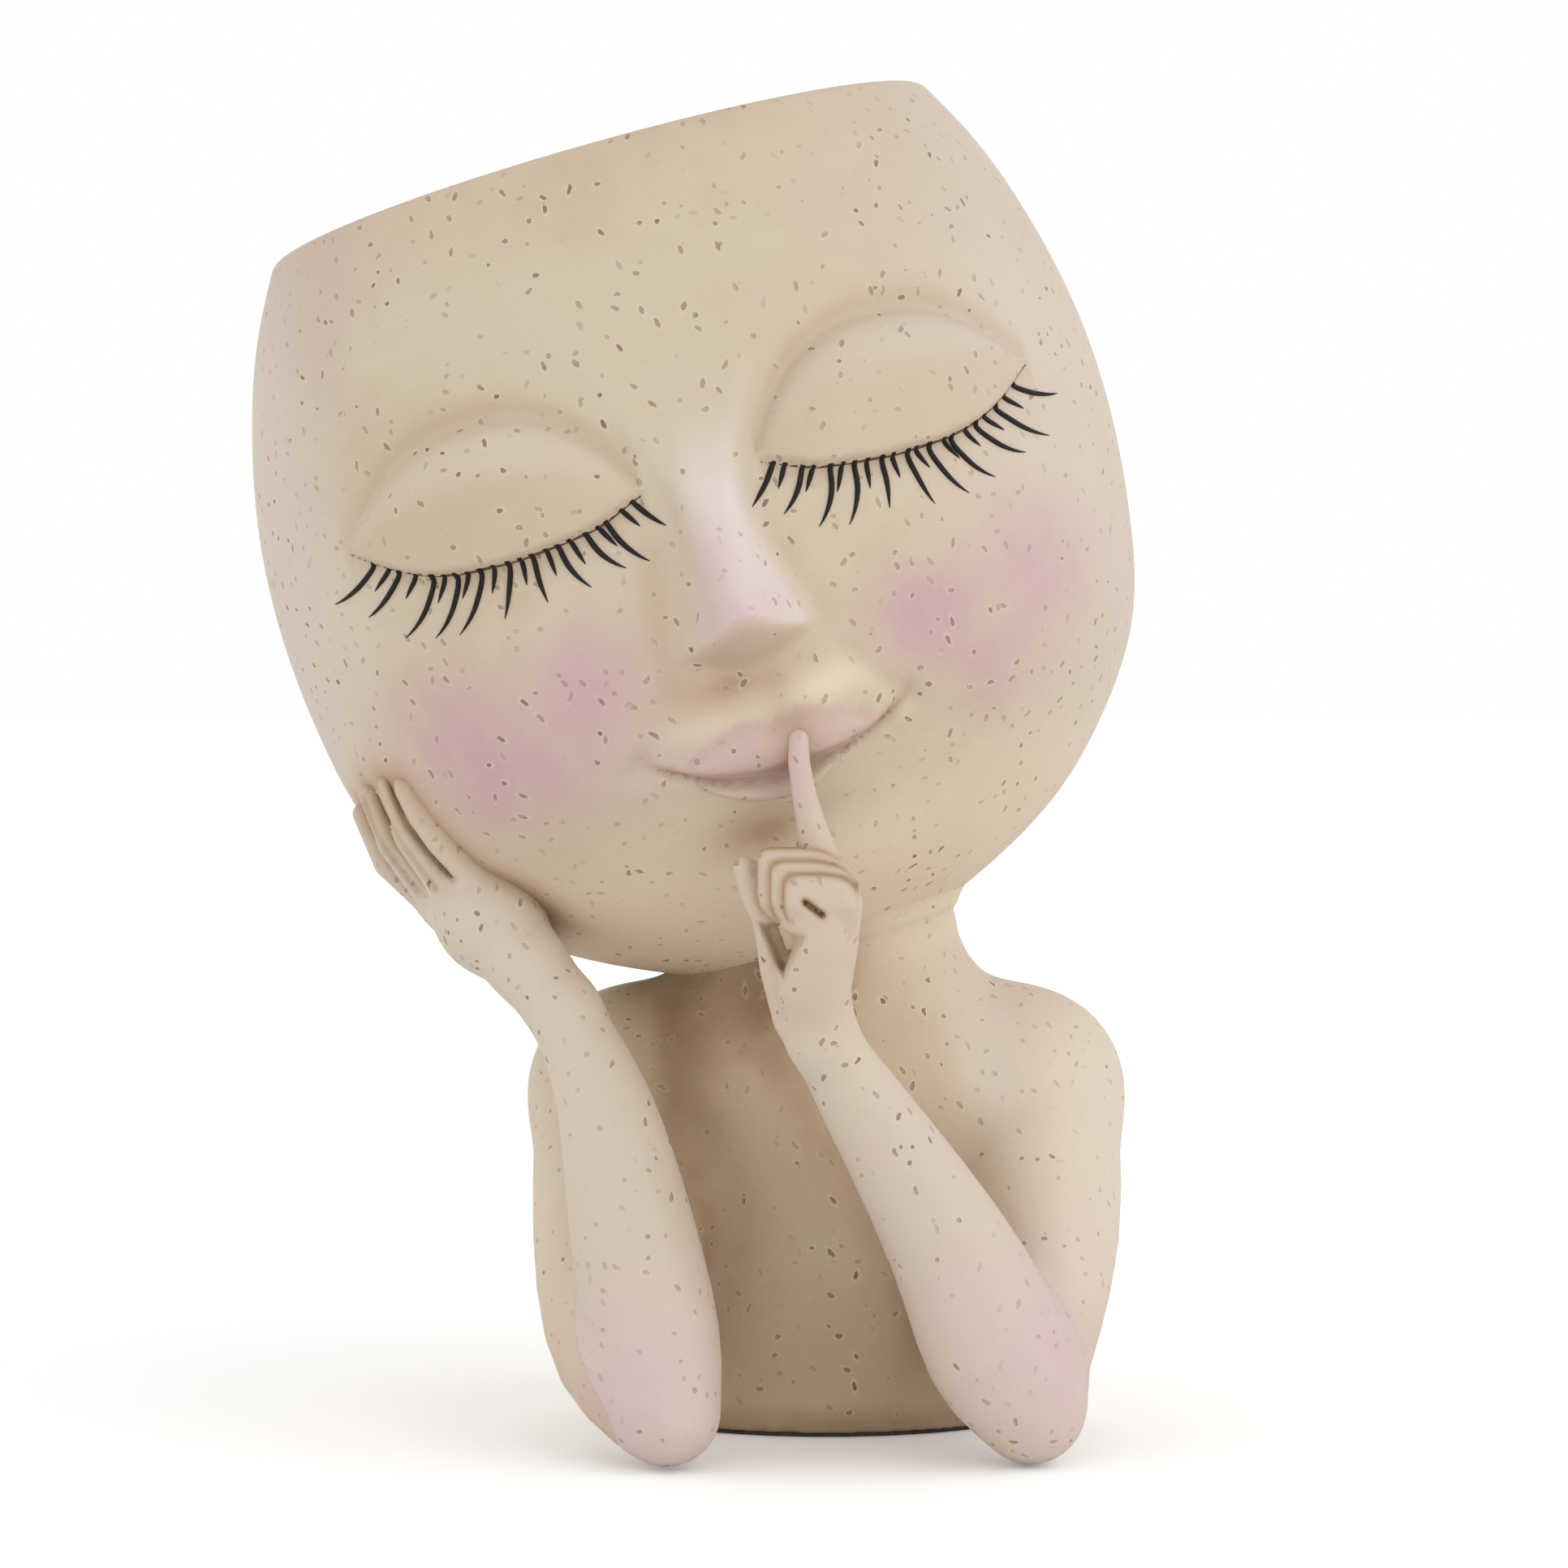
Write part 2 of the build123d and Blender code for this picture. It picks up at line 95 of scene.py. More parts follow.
def spline(places, values):  # natural cubic through the points
    places, values = np.asarray(places, float), np.asarray(values, float)
    count = len(places)
    step = np.diff(places)
    system, right = np.eye(count), np.zeros(count)
    for i in range(1, count - 1):
        system[i, i - 1:i + 2] = step[i - 1], 2 * (step[i - 1] + step[i]), step[i]
        right[i] = 6 * ((values[i + 1] - values[i]) / step[i] - (values[i] - values[i - 1]) / step[i - 1])
    bend = np.linalg.solve(system, right)

    def curve(at):
        at = np.clip(at, places[0], places[-1])
        i = np.clip(np.searchsorted(places, at) - 1, 0, count - 2)
        after, before, gap = places[i + 1] - at, at - places[i], step[i]
        cubic = (bend[i] * after ** 3 + bend[i + 1] * before ** 3) / (6 * gap)
        line = (values[i] / gap - bend[i] * gap / 6) * after
        return cubic + line + (values[i + 1] / gap - bend[i + 1] * gap / 6) * before

    return curve


def addMesh(name, points, faces, attributes=()):
    mesh = bpy.data.meshes.new(name)
    mesh.from_pydata((np.asarray(points) * mm).tolist(), [], [list(map(int, face)) for face in faces])
    mesh.update()
    mesh.shade_smooth()
    for label, values in dict(attributes).items():
        layer = mesh.attributes.new(label, "FLOAT", "POINT")
        layer.data.foreach_set("value", np.asarray(values, np.float32))
    piece = bpy.data.objects.new(name, mesh)
    scene.collection.objects.link(piece)
    return piece


def meshField(field, low, high, voxel):  # closed quad surface where the field is zero
    low = np.asarray(low, float)
    side = 8
    blocks = np.ceil((np.asarray(high, float) - low) / (voxel * side)).astype(int) + 1
    corner = np.stack(np.meshgrid(*[np.arange(n) for n in blocks], indexing="ij"), -1).reshape(-1, 3) * side
    middle = field(low + (corner + (side - 1) / 2) * voxel)
    values = np.repeat(np.repeat(np.repeat(middle.reshape(blocks), side, 0), side, 1), side, 2).astype(np.float32)
    cell = np.stack(np.meshgrid(*[np.arange(side)] * 3, indexing="ij"), -1).reshape(-1, 3)
    near = corner[np.abs(middle) < side * voxel * 1.3]
    for part in np.array_split(near, max(1, len(near) // 400)):
        index = (part[:, None, :] + cell[None]).reshape(-1, 3)
        values[index[:, 0], index[:, 1], index[:, 2]] = field(low + index * voxel)
    grid = openvdb.FloatGrid(background=100.0)
    grid.copyFromArray(values)
    points, quads = grid.convertToQuads(isovalue=0.0)
    points = low + np.asarray(points, float) * voxel
    shift = np.eye(3) * voxel * 0.25
    for _ in range(2):  # settle the points on the exact surface
        here = field(points)
        slope = np.stack([field(points + d) - field(points - d) for d in shift], -1) / (voxel * 0.5)
        step = here / np.maximum((slope * slope).sum(-1), 0.2)
        points = points - np.clip(step, -voxel, voxel)[:, None] * slope
    quads = np.asarray(quads)
    a, b, c = (points[quads[:, i]] for i in range(3))
    if np.einsum("ij,ij->i", np.cross(b - a, c - a), a - points.mean(0)).sum() < 0:
        quads = quads[:, ::-1]
    return points, quads


# Head: shape in its own frame, x across, -y to the front, z down from the rim

head = {
    "halfWidth": 64.0, "halfDepth": 56.25, "height": 118.8, "wall": 6.0, "floor": 8.0,
    "lean": 15.8, "turn": 3.0, "seat": (-1.6, -2.0, 70.4), "bore": 4.6, "socket": 6.6, "socketTop": 6.0,
    "rimRound": 1.2,
    "rings": ((0, .783), (.075, .858), (.18, .93), (.33, .989), (.45, 1), (.6, .974), (.73, .904),
              (.83, .774), (.91, .613), (.965, .433), (1, .286)),
}
oval = head["halfDepth"] / head["halfWidth"]
lean, turn = math.radians(head["lean"]), math.radians(head["turn"])
leanMatrix = np.array([[math.cos(lean), 0, -math.sin(lean)], [0, 1, 0], [math.sin(lean), 0, math.cos(lean)]])
turnMatrix = np.array([[math.cos(turn), -math.sin(turn), 0], [math.sin(turn), math.cos(turn), 0], [0, 0, 1]])
headMatrix = leanMatrix @ turnMatrix
rimCentre = np.array(head["seat"]) + head["height"] * leanMatrix[:, 2]
headRadius = spline([depth * head["height"] for depth, _ in head["rings"]],
                    [width * head["halfWidth"] for _, width in head["rings"]])


def toWorld(points):
    return np.asarray(points, float) @ headMatrix.T + rimCentre


def toHead(points):
    return (np.asarray(points, float) - rimCentre) @ headMatrix


def headSlope(depth):
    return headRadius(depth + 0.2) / 0.4 - headRadius(depth - 0.2) / 0.4


def headField(points):  # distance to the smooth head, without its features
    local = toHead(points)
    depth = -local[..., 2]
    reach = np.sqrt(local[..., 0] ** 2 + (local[..., 1] / oval) ** 2) + 1e-6
    steep = np.sqrt((local[..., 0] / reach) ** 2 + (local[..., 1] / oval ** 2 / reach) ** 2 + headSlope(depth) ** 2)
    wall = (reach - headRadius(depth)) / steep
    return np.maximum(np.maximum(wall, local[..., 2]), -head["height"] - local[..., 2])


# Face: heights over the smooth head, from places across (x) and along (z) the head

eye = {
    "ends": (8.0, 50.2), "proud": 3.9, "step": 0.9, "crease": 1.15, "creaseWidth": 2.0, "socket": 1.1, "socketWidth": 7.0,
    "lower": ((8.0, -49.0), (10.5, -49.9), (14.5, -51.5), (20, -52.4), (26, -52.9), (31, -52.8), (36, -52.3), (40, -51.2),
              (43.5, -49.5), (47, -47.2), (50.2, -45.0)),
    "upper": ((8.0, -48.6), (10.7, -43.9), (13.5, -40.3), (17.2, -36.9), (21.5, -34.4), (26, -33.2), (31, -33.0),
              (36.5, -33.8), (41.5, -36.0), (44.7, -38.6), (47.4, -41.6), (50.2, -44.8)),
}
lashLine, lidTop = (spline(*zip(*eye[edge])) for edge in ("lower", "upper"))
nose = {
    "along": (-76, -69.5, -66, -62, -56, -51, -45, -36, -26), "proud": (14.5, 11.2, 9.4, 7.4, 4.7, 2.7, 1.0, -0.8, -2.6),
    "half": (9.6, 9.3, 8.1, 7.0, 5.8, 5.6, 6.8, 10.5, 12.0),
    "steep": 1.40, "bottom": -75.9, "lift": 0.036, "under": 1.75, "soft": 2.4, "skirt": 2.0,
}
mouth = {
    "shift": 1.0, "thin": 0.7, "across": (0, 2, 3.8, 6, 10, 13.5, 17.2, 19.8),
    "upper": (-83.7, -83.4, -82.9, -83.2, -84.7, -86.3, -86.0, -84.4),
    "line": (-90.6, -90.5, -90.3, -90.0, -89.2, -88.0, -86.4, -84.6),
    "lower": (-94.3, -94.2, -94.0, -93.3, -91.2, -88.8, -86.5, -84.7),
    "upperProud": 3.0, "lowerProud": 2.4, "groove": 1.5, "corner": (19.0, -85.0), "cornerDepth": 0.8,
}


def eyeShape(x, z):  # places on one eye: along the lids, up the lid, and the two lid edges
    side = np.abs(x)
    inner, outer = eye["ends"]
    along = np.clip((side - (inner + outer) / 2) / ((outer - inner) / 2), -1, 1)
    low, high = lashLine(side), lidTop(side)
    up = np.clip((z - low) / np.maximum(high - low, 0.5), 0, 1)
    return 1 - along * along, low, high, up


def eyeHeight(x, z):
    middle, low, high, up = eyeShape(x, z)
    lid = eye["proud"] * middle ** 0.5 * (1 - up ** 2.2) * (0.62 + 0.9 * up - 0.5 * up * up)
    lid = lid * ramp(z, low - eye["step"] / 2, low + eye["step"] / 2)
    fade = middle ** 0.4
    crease = eye["crease"] * gauss(z - high - 0.4, eye["creaseWidth"]) * fade
    socket = eye["socket"] * gauss(z - high - 2, eye["socketWidth"]) * fade
    under = 0.5 * gauss(z - low + 1.4, 1.8) * fade * (z < low)
    return lid - crease - socket - under


def noseShape(x, z):  # front, sides and underside are planes with soft edges: height, and share of underside
    front, half = (spline(nose["along"], nose[name])(z) for name in ("proud", "half"))
    sides = nose["steep"] * (half - np.abs(x))
    below = nose["under"] * (z - nose["bottom"] - nose["lift"] * x * x)
    wedge = smoothMin(smoothMin(front, sides, nose["soft"]), below, nose["soft"])
    return smoothMax(wedge, np.zeros_like(wedge), nose["skirt"]), ramp(below - np.minimum(front, sides), 1.0, -1.5)


def lipEdges(x):
    side = np.abs(x - mouth["shift"])
    upper, line, lower = (spline(mouth["across"], mouth[name])(side) for name in ("upper", "line", "lower"))
    return upper, line, line + (lower - line) * (1 - mouth["thin"] * ramp(x - mouth["shift"], 0, 7))


def mouthHeight(x, z):
    side = np.abs(x - mouth["shift"])
    upper, line, lower = lipEdges(x)
    taper = np.clip(1 - (side / 16.5) ** 3, 0, 1)
    upShare = np.clip((z - line) / np.maximum(upper - line, 0.4), 0, 1)
    lowShare = np.clip((z - lower) / np.maximum(line - lower, 0.4), 0, 1)
    lips = mouth["upperProud"] * taper * (4 * upShare * (1 - upShare)) ** 0.6
    lips = lips + mouth["lowerProud"] * taper * (4 * lowShare * (1 - lowShare)) ** 0.85
    groove = mouth["groove"] * gauss(z - line, 0.75) * ramp(side, 20.0, 15.0)
    cornerX, cornerZ = mouth["corner"]
    corner = mouth["cornerDepth"] * gauss(np.hypot(side - cornerX, z - cornerZ), 1.7)
    muzzle = 2.0 * np.exp(-(x / 15) ** 2 - ((z + 85.5) / 8.5) ** 2)
    philtrum = 1.0 * gauss(x - mouth["shift"], 2.1) * ramp(z, -85.5, -83.5) * ramp(z, -76.5, -79.0)
    under = 1.4 * np.exp(-(x / 9) ** 2 - ((z + 98.2) / 2.8) ** 2)
    chin = 1.3 * np.exp(-(x / 11) ** 2 - ((z + 106) / 5.5) ** 2)
    return lips + muzzle + chin - groove - corner - philtrum - under


def foldHeight(x, z):  # soft fold from the nose's wing to the mouth's corner, and the cheek beside it
    side = np.abs(x)
    share = np.clip((-z - 76) / 10, 0, 1)
    fold = 0.6 * gauss(side - 11.5 - 8.0 * share, 2.0) * ramp(-z, 73, 77) * ramp(-z, 89, 85)
    cheek = 1.3 * np.exp(-((side - 32) / 14) ** 2 - ((z + 77) / 13) ** 2)
    return cheek - fold


def faceHeight(x, z):
    return eyeHeight(x, z) + noseShape(x, z)[0] + mouthHeight(x, z) + foldHeight(x, z)


def onFace(x, z, lift=0.0):  # point of the finished face, lifted along its base normal
    x, z = np.asarray(x, float), np.asarray(z, float)
    radius = headRadius(-z)
    y = -oval * np.sqrt(np.maximum(radius * radius - x * x, 0))
    normal = np.stack([x, y / oval ** 2, radius * headSlope(-z)], -1)
    normal = normal / np.sqrt((normal * normal).sum(-1))[..., None]
    return np.stack([x, y, z], -1) + normal * (faceHeight(x, z) + lift)[..., None]


def headProfile():  # closed outline of the pot's wall: (radius, height, roundness, shows the face)
    tall, wall = head["height"], head["wall"]
    depths = [tall]
    while depths[-1] > 2 * head["rimRound"]:
        depth = depths[-1]
        steep = math.hypot(1, float(headSlope(depth)))
        fine = 0.6 if 27 < depth < 101 else 1.6
        depths.append(depth - fine / steep)
    inner = [max(float(headRadius(d)) - wall * math.hypot(1, float(headSlope(d))), 0) for d in np.linspace(2.4, tall, 200)]
    innerAt = lambda d: float(np.interp(d, np.linspace(2.4, tall, 200), inner))
    rimOut, rimIn = float(headRadius(0)), float(headRadius(0)) - wall * math.hypot(1, float(headSlope(0.3)))
    rows = [(r, -tall, share, False) for r, share in ((head["socket"], 1), (10, .6), (14, .2), (17.6, 0))]
    rows += [(float(headRadius(d)), -d, 0, True) for d in depths[1:-1] + [head["rimRound"]]]
    last = rows[-1]

    def bend(start, corner, end, steps):
        for t in np.linspace(0, 1, steps)[1:]:
            r, z = ((1 - t) ** 2 * start[i] + 2 * t * (1 - t) * corner[i] + t * t * end[i] for i in range(2))
            rows.append((r, z, 0, False))

    bend(last, (rimOut, 0), (rimOut - head["rimRound"], 0), 7)
    bend(rows[-1], (rimOut - 3, 0), (rimIn + 2, 0), 3)
    bend(rows[-1], (rimIn, 0), (innerAt(2.4), -2.4), 6)
    floorDepth = tall - head["floor"]
    rows += [(innerAt(d), -d, 0, False) for d in np.linspace(4, floorDepth, 40)]
    floorEdge = rows[-1][0]
    rows += [(floorEdge + (head["bore"] - floorEdge) * s, -floorDepth, s, False) for s in (.1, .3, .6, 1)]
    rows += [(head["bore"], -tall + head["socketTop"], 1, False), (head["socket"], -tall + head["socketTop"], 1, False)]
    return rows


def headMesh():
    rows = headProfile()
    dense = np.radians(np.linspace(-180, 180, 7201))
    weight = 0.24 + 0.76 * ramp(np.abs(dense), math.radians(86), math.radians(70))
    travel = np.concatenate([[0], np.cumsum((weight[1:] + weight[:-1]) / 2)])
    columns = 400
    angles = np.interp(np.linspace(0, travel[-1], columns + 1)[:-1], travel, dense)
    points = []
    for radius, z, roundness, shown in rows:
        deep = oval + (1 - oval) * roundness
        x, y = radius * np.sin(angles), -deep * radius * np.cos(angles)
        ring = np.stack([x, y, np.full_like(x, z)], -1)
        if shown:
            normal = np.stack([x, y / oval ** 2, np.full_like(x, radius * float(headSlope(-z)))], -1)
            normal = normal / np.sqrt((normal * normal).sum(-1))[:, None]
            front = ramp(np.cos(angles), 0.05, 0.25)
            ring = ring + normal * (faceHeight(x, np.full_like(x, z)) * front)[:, None]
        points.append(ring)
    local = np.concatenate(points)
    index = np.arange(len(rows) * columns).reshape(len(rows), columns)
    turnedRow, turnedColumn = np.roll(index, -1, 0), np.roll(index, -1, 1)
    both = np.roll(turnedRow, -1, 1)
    faces = np.stack([index, turnedColumn, both, turnedRow], -1).reshape(-1, 4)
    return local, faces


# Bust and arms: one continuous field, shared out between the pieces

bust = {
    "base": 0.75, "shoulder": (28.9, 0.0, 47.8), "shoulderRadius": 14.8,
    "heights": (0, 16, 30, 44, 52, 60), "widths": (32.8, 34.2, 35.2, 36, 36, 35),
    "depths": (25, 24.8, 24.3, 24, 23.5, 22),
    "neck": (((-0.5, -1.5, 52.0), 21.5), ((0.2, -2.0, 66.0), 19.4), ((-0.6, -2.0, 76.0), 19.4)),
}
arms = {
    "right": {"side": -1, "upper": (-30.4, -38.5, 14.5), "middleRadius": 13.2, "upperRadius": 8.4, "merge": (-33.0, -44.0, 13.0),
              "stations": (((-22.6, -48.5, 8.0), 7.2), ((-24.6, -46.0, 18.5), 9.2), ((-28.0, -42.0, 34.0), 8.7),
                           ((-31.8, -38.0, 50.0), 6.7), ((-37.6, -34.5, 63.0), 4.7))},
    "left": {"side": 1, "upper": (29.8, -37.0, 15.0), "middleRadius": 13.2, "upperRadius": 7.8, "merge": (32.0, -42.0, 19.0),
             "stations": (((28.2, -45.5, 7.9), 7.4), ((23.2, -46.5, 17.0), 10.0), ((16.6, -47.0, 31.5), 8.6),
                          ((4.4, -53.0, 52.0), 5.8), ((-1.2, -57.5, 61.5), 4.4))},
}
seam = {"soft": 1.6, "elbowSoft": 6.5, "elbowReach": 11.0, "jawSoft": 5.0, "jawFrom": (-10.0, 2.0), "jawSink": 0.6, "overlap": 0.8, "under": 0.15}  # how widely pieces run together
cheekHand = {
    "palm": (((-37.6, -34.5, 63.0), 4.7), ((-43.0, -31.0, 69.3), 5.9), ((-48.5, -27.0, 75.5), 6.5)),
    "fingers": (
        (((-50.0, -28.6, 81.0), 3.1), ((-55.5, -31.2, 87.4), 2.6), ((-60.4, -32.6, 94.4), 2.1)),
        (((-54.2, -24.5, 79.6), 3.0), ((-60.0, -27.3, 87.4), 2.4), ((-63.4, -29.6, 94.4), 1.9)),
        (((-56.6, -18.0, 77.6), 2.9), ((-63.2, -20.6, 86.2), 2.3), ((-66.0, -24.6, 93.2), 1.8)),
        (((-57.6, -11.0, 76.8), 2.7), ((-64.6, -13.0, 83.0), 2.2), ((-67.8, -17.0, 90.4), 1.7)),
    ),
    "thumb": (((-46.0, -20.0, 70.5), 4.4), ((-43.0, -8.0, 71.0), 3.2), ((-42.5, 0.0, 72.5), 2.6)),
    "grooves": (
        ((-53.6, 81.6), (-57.3, 85.5), (-60.3, 89.5), (-62.6, 95.5)), ((-56.4, 80.0), (-61.3, 86.8), (-63.6, 91.4), (-64.8, 95.0)),
        ((-59.4, 79.3), (-62.6, 83.5), (-65.2, 87.5), (-66.9, 93.0)),
    ),
    "grooveDepth": 0.65, "grooveWidth": 0.5,
}
fist = {
    "palm": (((-1.2, -57.5, 61.5), 4.4), ((-2.4, -60.5, 68.5), 5.2), ((-1.6, -62.4, 75.0), 5.4), ((-1.2, -63.0, 80.0), 5.4)),
    "pointer": (((-1.2, -58.2, 85.0), 2.7), ((-2.8, -58.6, 91.3), 1.95), ((-3.75, -58.2, 95.6), 1.62), ((-4.3, -57.8, 99.2), 1.5),
                ((-4.35, -57.4, 102.3), 1.38)),
    "corner": (-10.0, 87.5), "step": (1.85, -1.65), "low": (-9.6, 78.9), "lowStep": (1.65, -0.35), "fingers": 3,
    "knuckle": ((1.0, 87.6), (0.753, 0.658)), "right": ((4.5, 80.9), (0.975, -0.22)), "heel": (-0.596, -0.803), "bottom": 70.0,
    "front": -62.2, "frontStep": -3.2, "recede": (80.0, 0.6), "back": -57.5, "soft": 1.9, "round": 4.5,
    "thumb": (((-4.6, -57.5, 64.5), 3.4), ((-7.3, -57.5, 70.5), 2.3), ((-8.2, -57.5, 74.0), 1.9), ((-9.2, -57.5, 77.6), 1.55),
              ((-10.8, -57.3, 81.0), 1.6), ((-11.7, -57.0, 84.6), 1.6)),
    "hollow": ((-9.6, 77.2), (-3.4, 75.9), (-6.4, 70.2)), "hollowDepth": 1.8, "pit": ((-3.5, 80.6), (-1.2, 78.9)), "pitDepth": 1.8,
}


def toLine(points, corners):  # distance to a line of (x, z) corners, seen from the front
    flat = points[..., [0, 2]]
    best = None
    for start, end in zip(corners, corners[1:]):
        start = np.array(start)
        run = np.array(end) - start
        share = np.clip(((flat - start) @ run) / (run @ run), 0, 1)
        apart = flat - start - share[..., None] * run
        length = np.sqrt((apart * apart).sum(-1))
        best = length if best is None else np.minimum(best, length)
    return best


def inCorners(points, corners):  # how far inside a triangle of (x, z) corners, seen from the front
    flat = points[..., [0, 2]]
    middle = np.mean(corners, 0)
    inside = None
    for start, end in zip(corners, corners[1:] + corners[:1]):
        run = np.subtract(end, start)
        normal = np.array([-run[1], run[0]]) / np.hypot(*run)
        normal = normal * np.sign((middle - start) @ normal)
        depth = (flat - np.array(start)) @ normal
        inside = depth if inside is None else np.minimum(inside, depth)
    return inside


def smoothStations(stations, parts=3):  # more stations, on a smooth curve through the given ones
    given = np.arange(len(stations))
    along = np.linspace(0, given[-1], given[-1] * parts + 1)
    columns = np.array([(*place, radius) for place, radius in stations]).T
    return [(row[:3], row[3]) for row in np.stack([spline(given, column)(along) for column in columns], -1)]


def upperStations(arm):
    shoulder = np.array(bust["shoulder"]) * (arm["side"], 1, 1)
    upper = np.array(arm["upper"])
    middle = shoulder + (upper - shoulder) * 0.55
    elbow, elbowRadius = arm["stations"][0]
    return ((shoulder, bust["shoulderRadius"]), (middle, arm["middleRadius"]), (upper, arm["upperRadius"]),
            (elbow, elbowRadius * 0.9))


for arm in arms.values():
    arm["upperCurve"], arm["curve"] = smoothStations(upperStations(arm)), smoothStations(arm["stations"])


def chestField(points):
    z = points[..., 2]
    width = spline(bust["heights"], bust["widths"])(z)
    depth = spline(bust["heights"], bust["depths"])(z)
    scaled = np.sqrt((points[..., 0] / width) ** 2 + (points[..., 1] / depth) ** 2) + 1e-6
    column = np.hypot(points[..., 0], points[..., 1]) * (1 - 1 / scaled)
    column = smoothMax(column, z - 55, 10)
    shoulder = np.array(bust["shoulder"])
    yoke = cone(points, shoulder * (-1, 1, 1), shoulder, bust["shoulderRadius"], bust["shoulderRadius"])
    neck = chain(points, bust["neck"])
    return smoothMin(smoothMin(column, yoke, 8), neck, 15)


def torsoField(points):
    field = chestField(points)
    for arm in arms.values():
        field = smoothMin(field, chain(points, arm["upperCurve"]), 5)
    return field


def cheekHandField(points):
    field = chain(points, cheekHand["palm"])
    palm = cheekHand["palm"][-1]
    fingers = None
    for finger in cheekHand["fingers"]:
        knuckle, radius = finger[0]
        field = smoothMin(field, cone(points, palm[0], knuckle, palm[1] * 0.9, radius), 3.5)
        one = chain(points, finger)
        fingers = one if fingers is None else smoothMin(fingers, one, 1.5)
    field = smoothMin(field, fingers, 1.2)
    for groove in cheekHand["grooves"]:
        field = field + cheekHand["grooveDepth"] * gauss(toLine(points, groove), cheekHand["grooveWidth"])
    return smoothMin(field, chain(points, cheekHand["thumb"]), 2.5)


def fingerOutline(points, number):  # a folded finger seen from the front
    x, z = points[..., 0], points[..., 2]
    left, top = np.array(fist["corner"]) + np.array(fist["step"]) * number
    lowX, lowZ = np.array(fist["low"]) + np.array(fist["lowStep"]) * number
    field = smoothMax(left - x, z - top, fist["soft"])
    edges = (fist["knuckle"], fist["round"]), (fist["right"], fist["round"]), (((lowX, lowZ), fist["heel"]), fist["soft"])
    for ((placeX, placeZ), (acrossX, acrossZ)), soft in edges:
        field = smoothMax(field, (x - placeX) * acrossX + (z - placeZ) * acrossZ, soft)
    return np.maximum(field, fist["bottom"] - z)


def fistField(points):
    field = smoothMin(chain(points, fist["palm"]), chain(points, fist["pointer"]), 2.0)
    y = points[..., 1]
    level, rate = fist["recede"]
    for number in range(fist["fingers"]):
        front = fist["front"] + fist["frontStep"] * number + rate * np.maximum(level - points[..., 2], 0)
        finger = smoothMax(fingerOutline(points, number), front - y, fist["soft"])
        field = smoothMin(field, np.maximum(finger, y - fist["back"]), 0.5)
    field = smoothMin(field, chain(points, fist["thumb"]), 0.7)
    field = field + fist["hollowDepth"] * ramp(inCorners(points, fist["hollow"]), -0.5, 0.8) * (y < fist["back"])
    return field + fist["pitDepth"] * gauss(toLine(points, fist["pit"]), 0.42) * (y < fist["back"])


def handWashAndShade(points, name):  # brown wash and painted shade in the creases and hollows of a hand
    if name == "right":
        return sum(0.30 * gauss(toLine(points, groove), 0.5) for groove in cheekHand["grooves"])
    between = sum(0.55 * gauss(fingerOutline(points, number) - 0.15, 0.35) for number in range(fist["fingers"]))
    outer = [(points[..., [0, 2]] - np.array(place)) @ np.array(way) for place, way in (fist["right"], fist["knuckle"])]
    between = between * ramp(points[..., 2], 76.0, 79.0) * ramp(np.maximum(*outer), -0.4, -1.8)
    hollow = 0.45 * ramp(inCorners(points, fist["hollow"]), -0.4, 0.8)
    washAndShade = between + hollow + 0.9 * gauss(toLine(points, fist["pit"]), 0.55)
    return washAndShade * ramp(-points[..., 1], 56.5, 58.5) * ramp(points[..., 2], 68.0, 70.0)


def forearmField(points, name):
    hand = cheekHandField if name == "right" else fistField
    return smoothMin(chain(points, arms[name]["curve"]), hand(points), 3)


def seamSoft(points, name):  # wide at the inside of the elbow, narrow elsewhere
    apart = points - np.array(arms[name]["merge"])
    return seam["soft"] + seam["elbowSoft"] * gauss(np.sqrt((apart * apart).sum(-1)), seam["elbowReach"])


def softChest(points):  # pieces and their neighbours, blended where they meet
    trunk = torsoField(points)
    joined = trunk
    for name in arms:
        joined = smoothMin(joined, forearmField(points, name), seamSoft(points, name))
    return trunk, joined


def torsoPiece(points):
    trunk, joined = softChest(points)
    nearest = np.minimum(*[forearmField(points, name) for name in arms])
    jawSoft = 0.2 + seam["jawSoft"] * ramp(points[..., 0], *seam["jawFrom"])
    joined = smoothMin(joined, headField(points) + seam["jawSink"], jawSoft)
    past = trunk - nearest
    field = joined + seam["under"] * ramp(past, -seam["overlap"], 0)  # tucks under the forearm
    field = np.maximum(field, past - seam["overlap"])
    field = np.maximum(field, bust["base"] - points[..., 2])
    return np.maximum(field, -headField(points) - seam["overlap"])


def forearmPiece(name):
    def field(points):
        own = forearmField(points, name)
        trunk = torsoField(points)
        joined = smoothMin(own, trunk, seamSoft(points, name))
        return np.maximum(np.maximum(joined, own - trunk), -headField(points) - 0.3)

    return field


# Materials: one class for shader sums, one maker for nodes

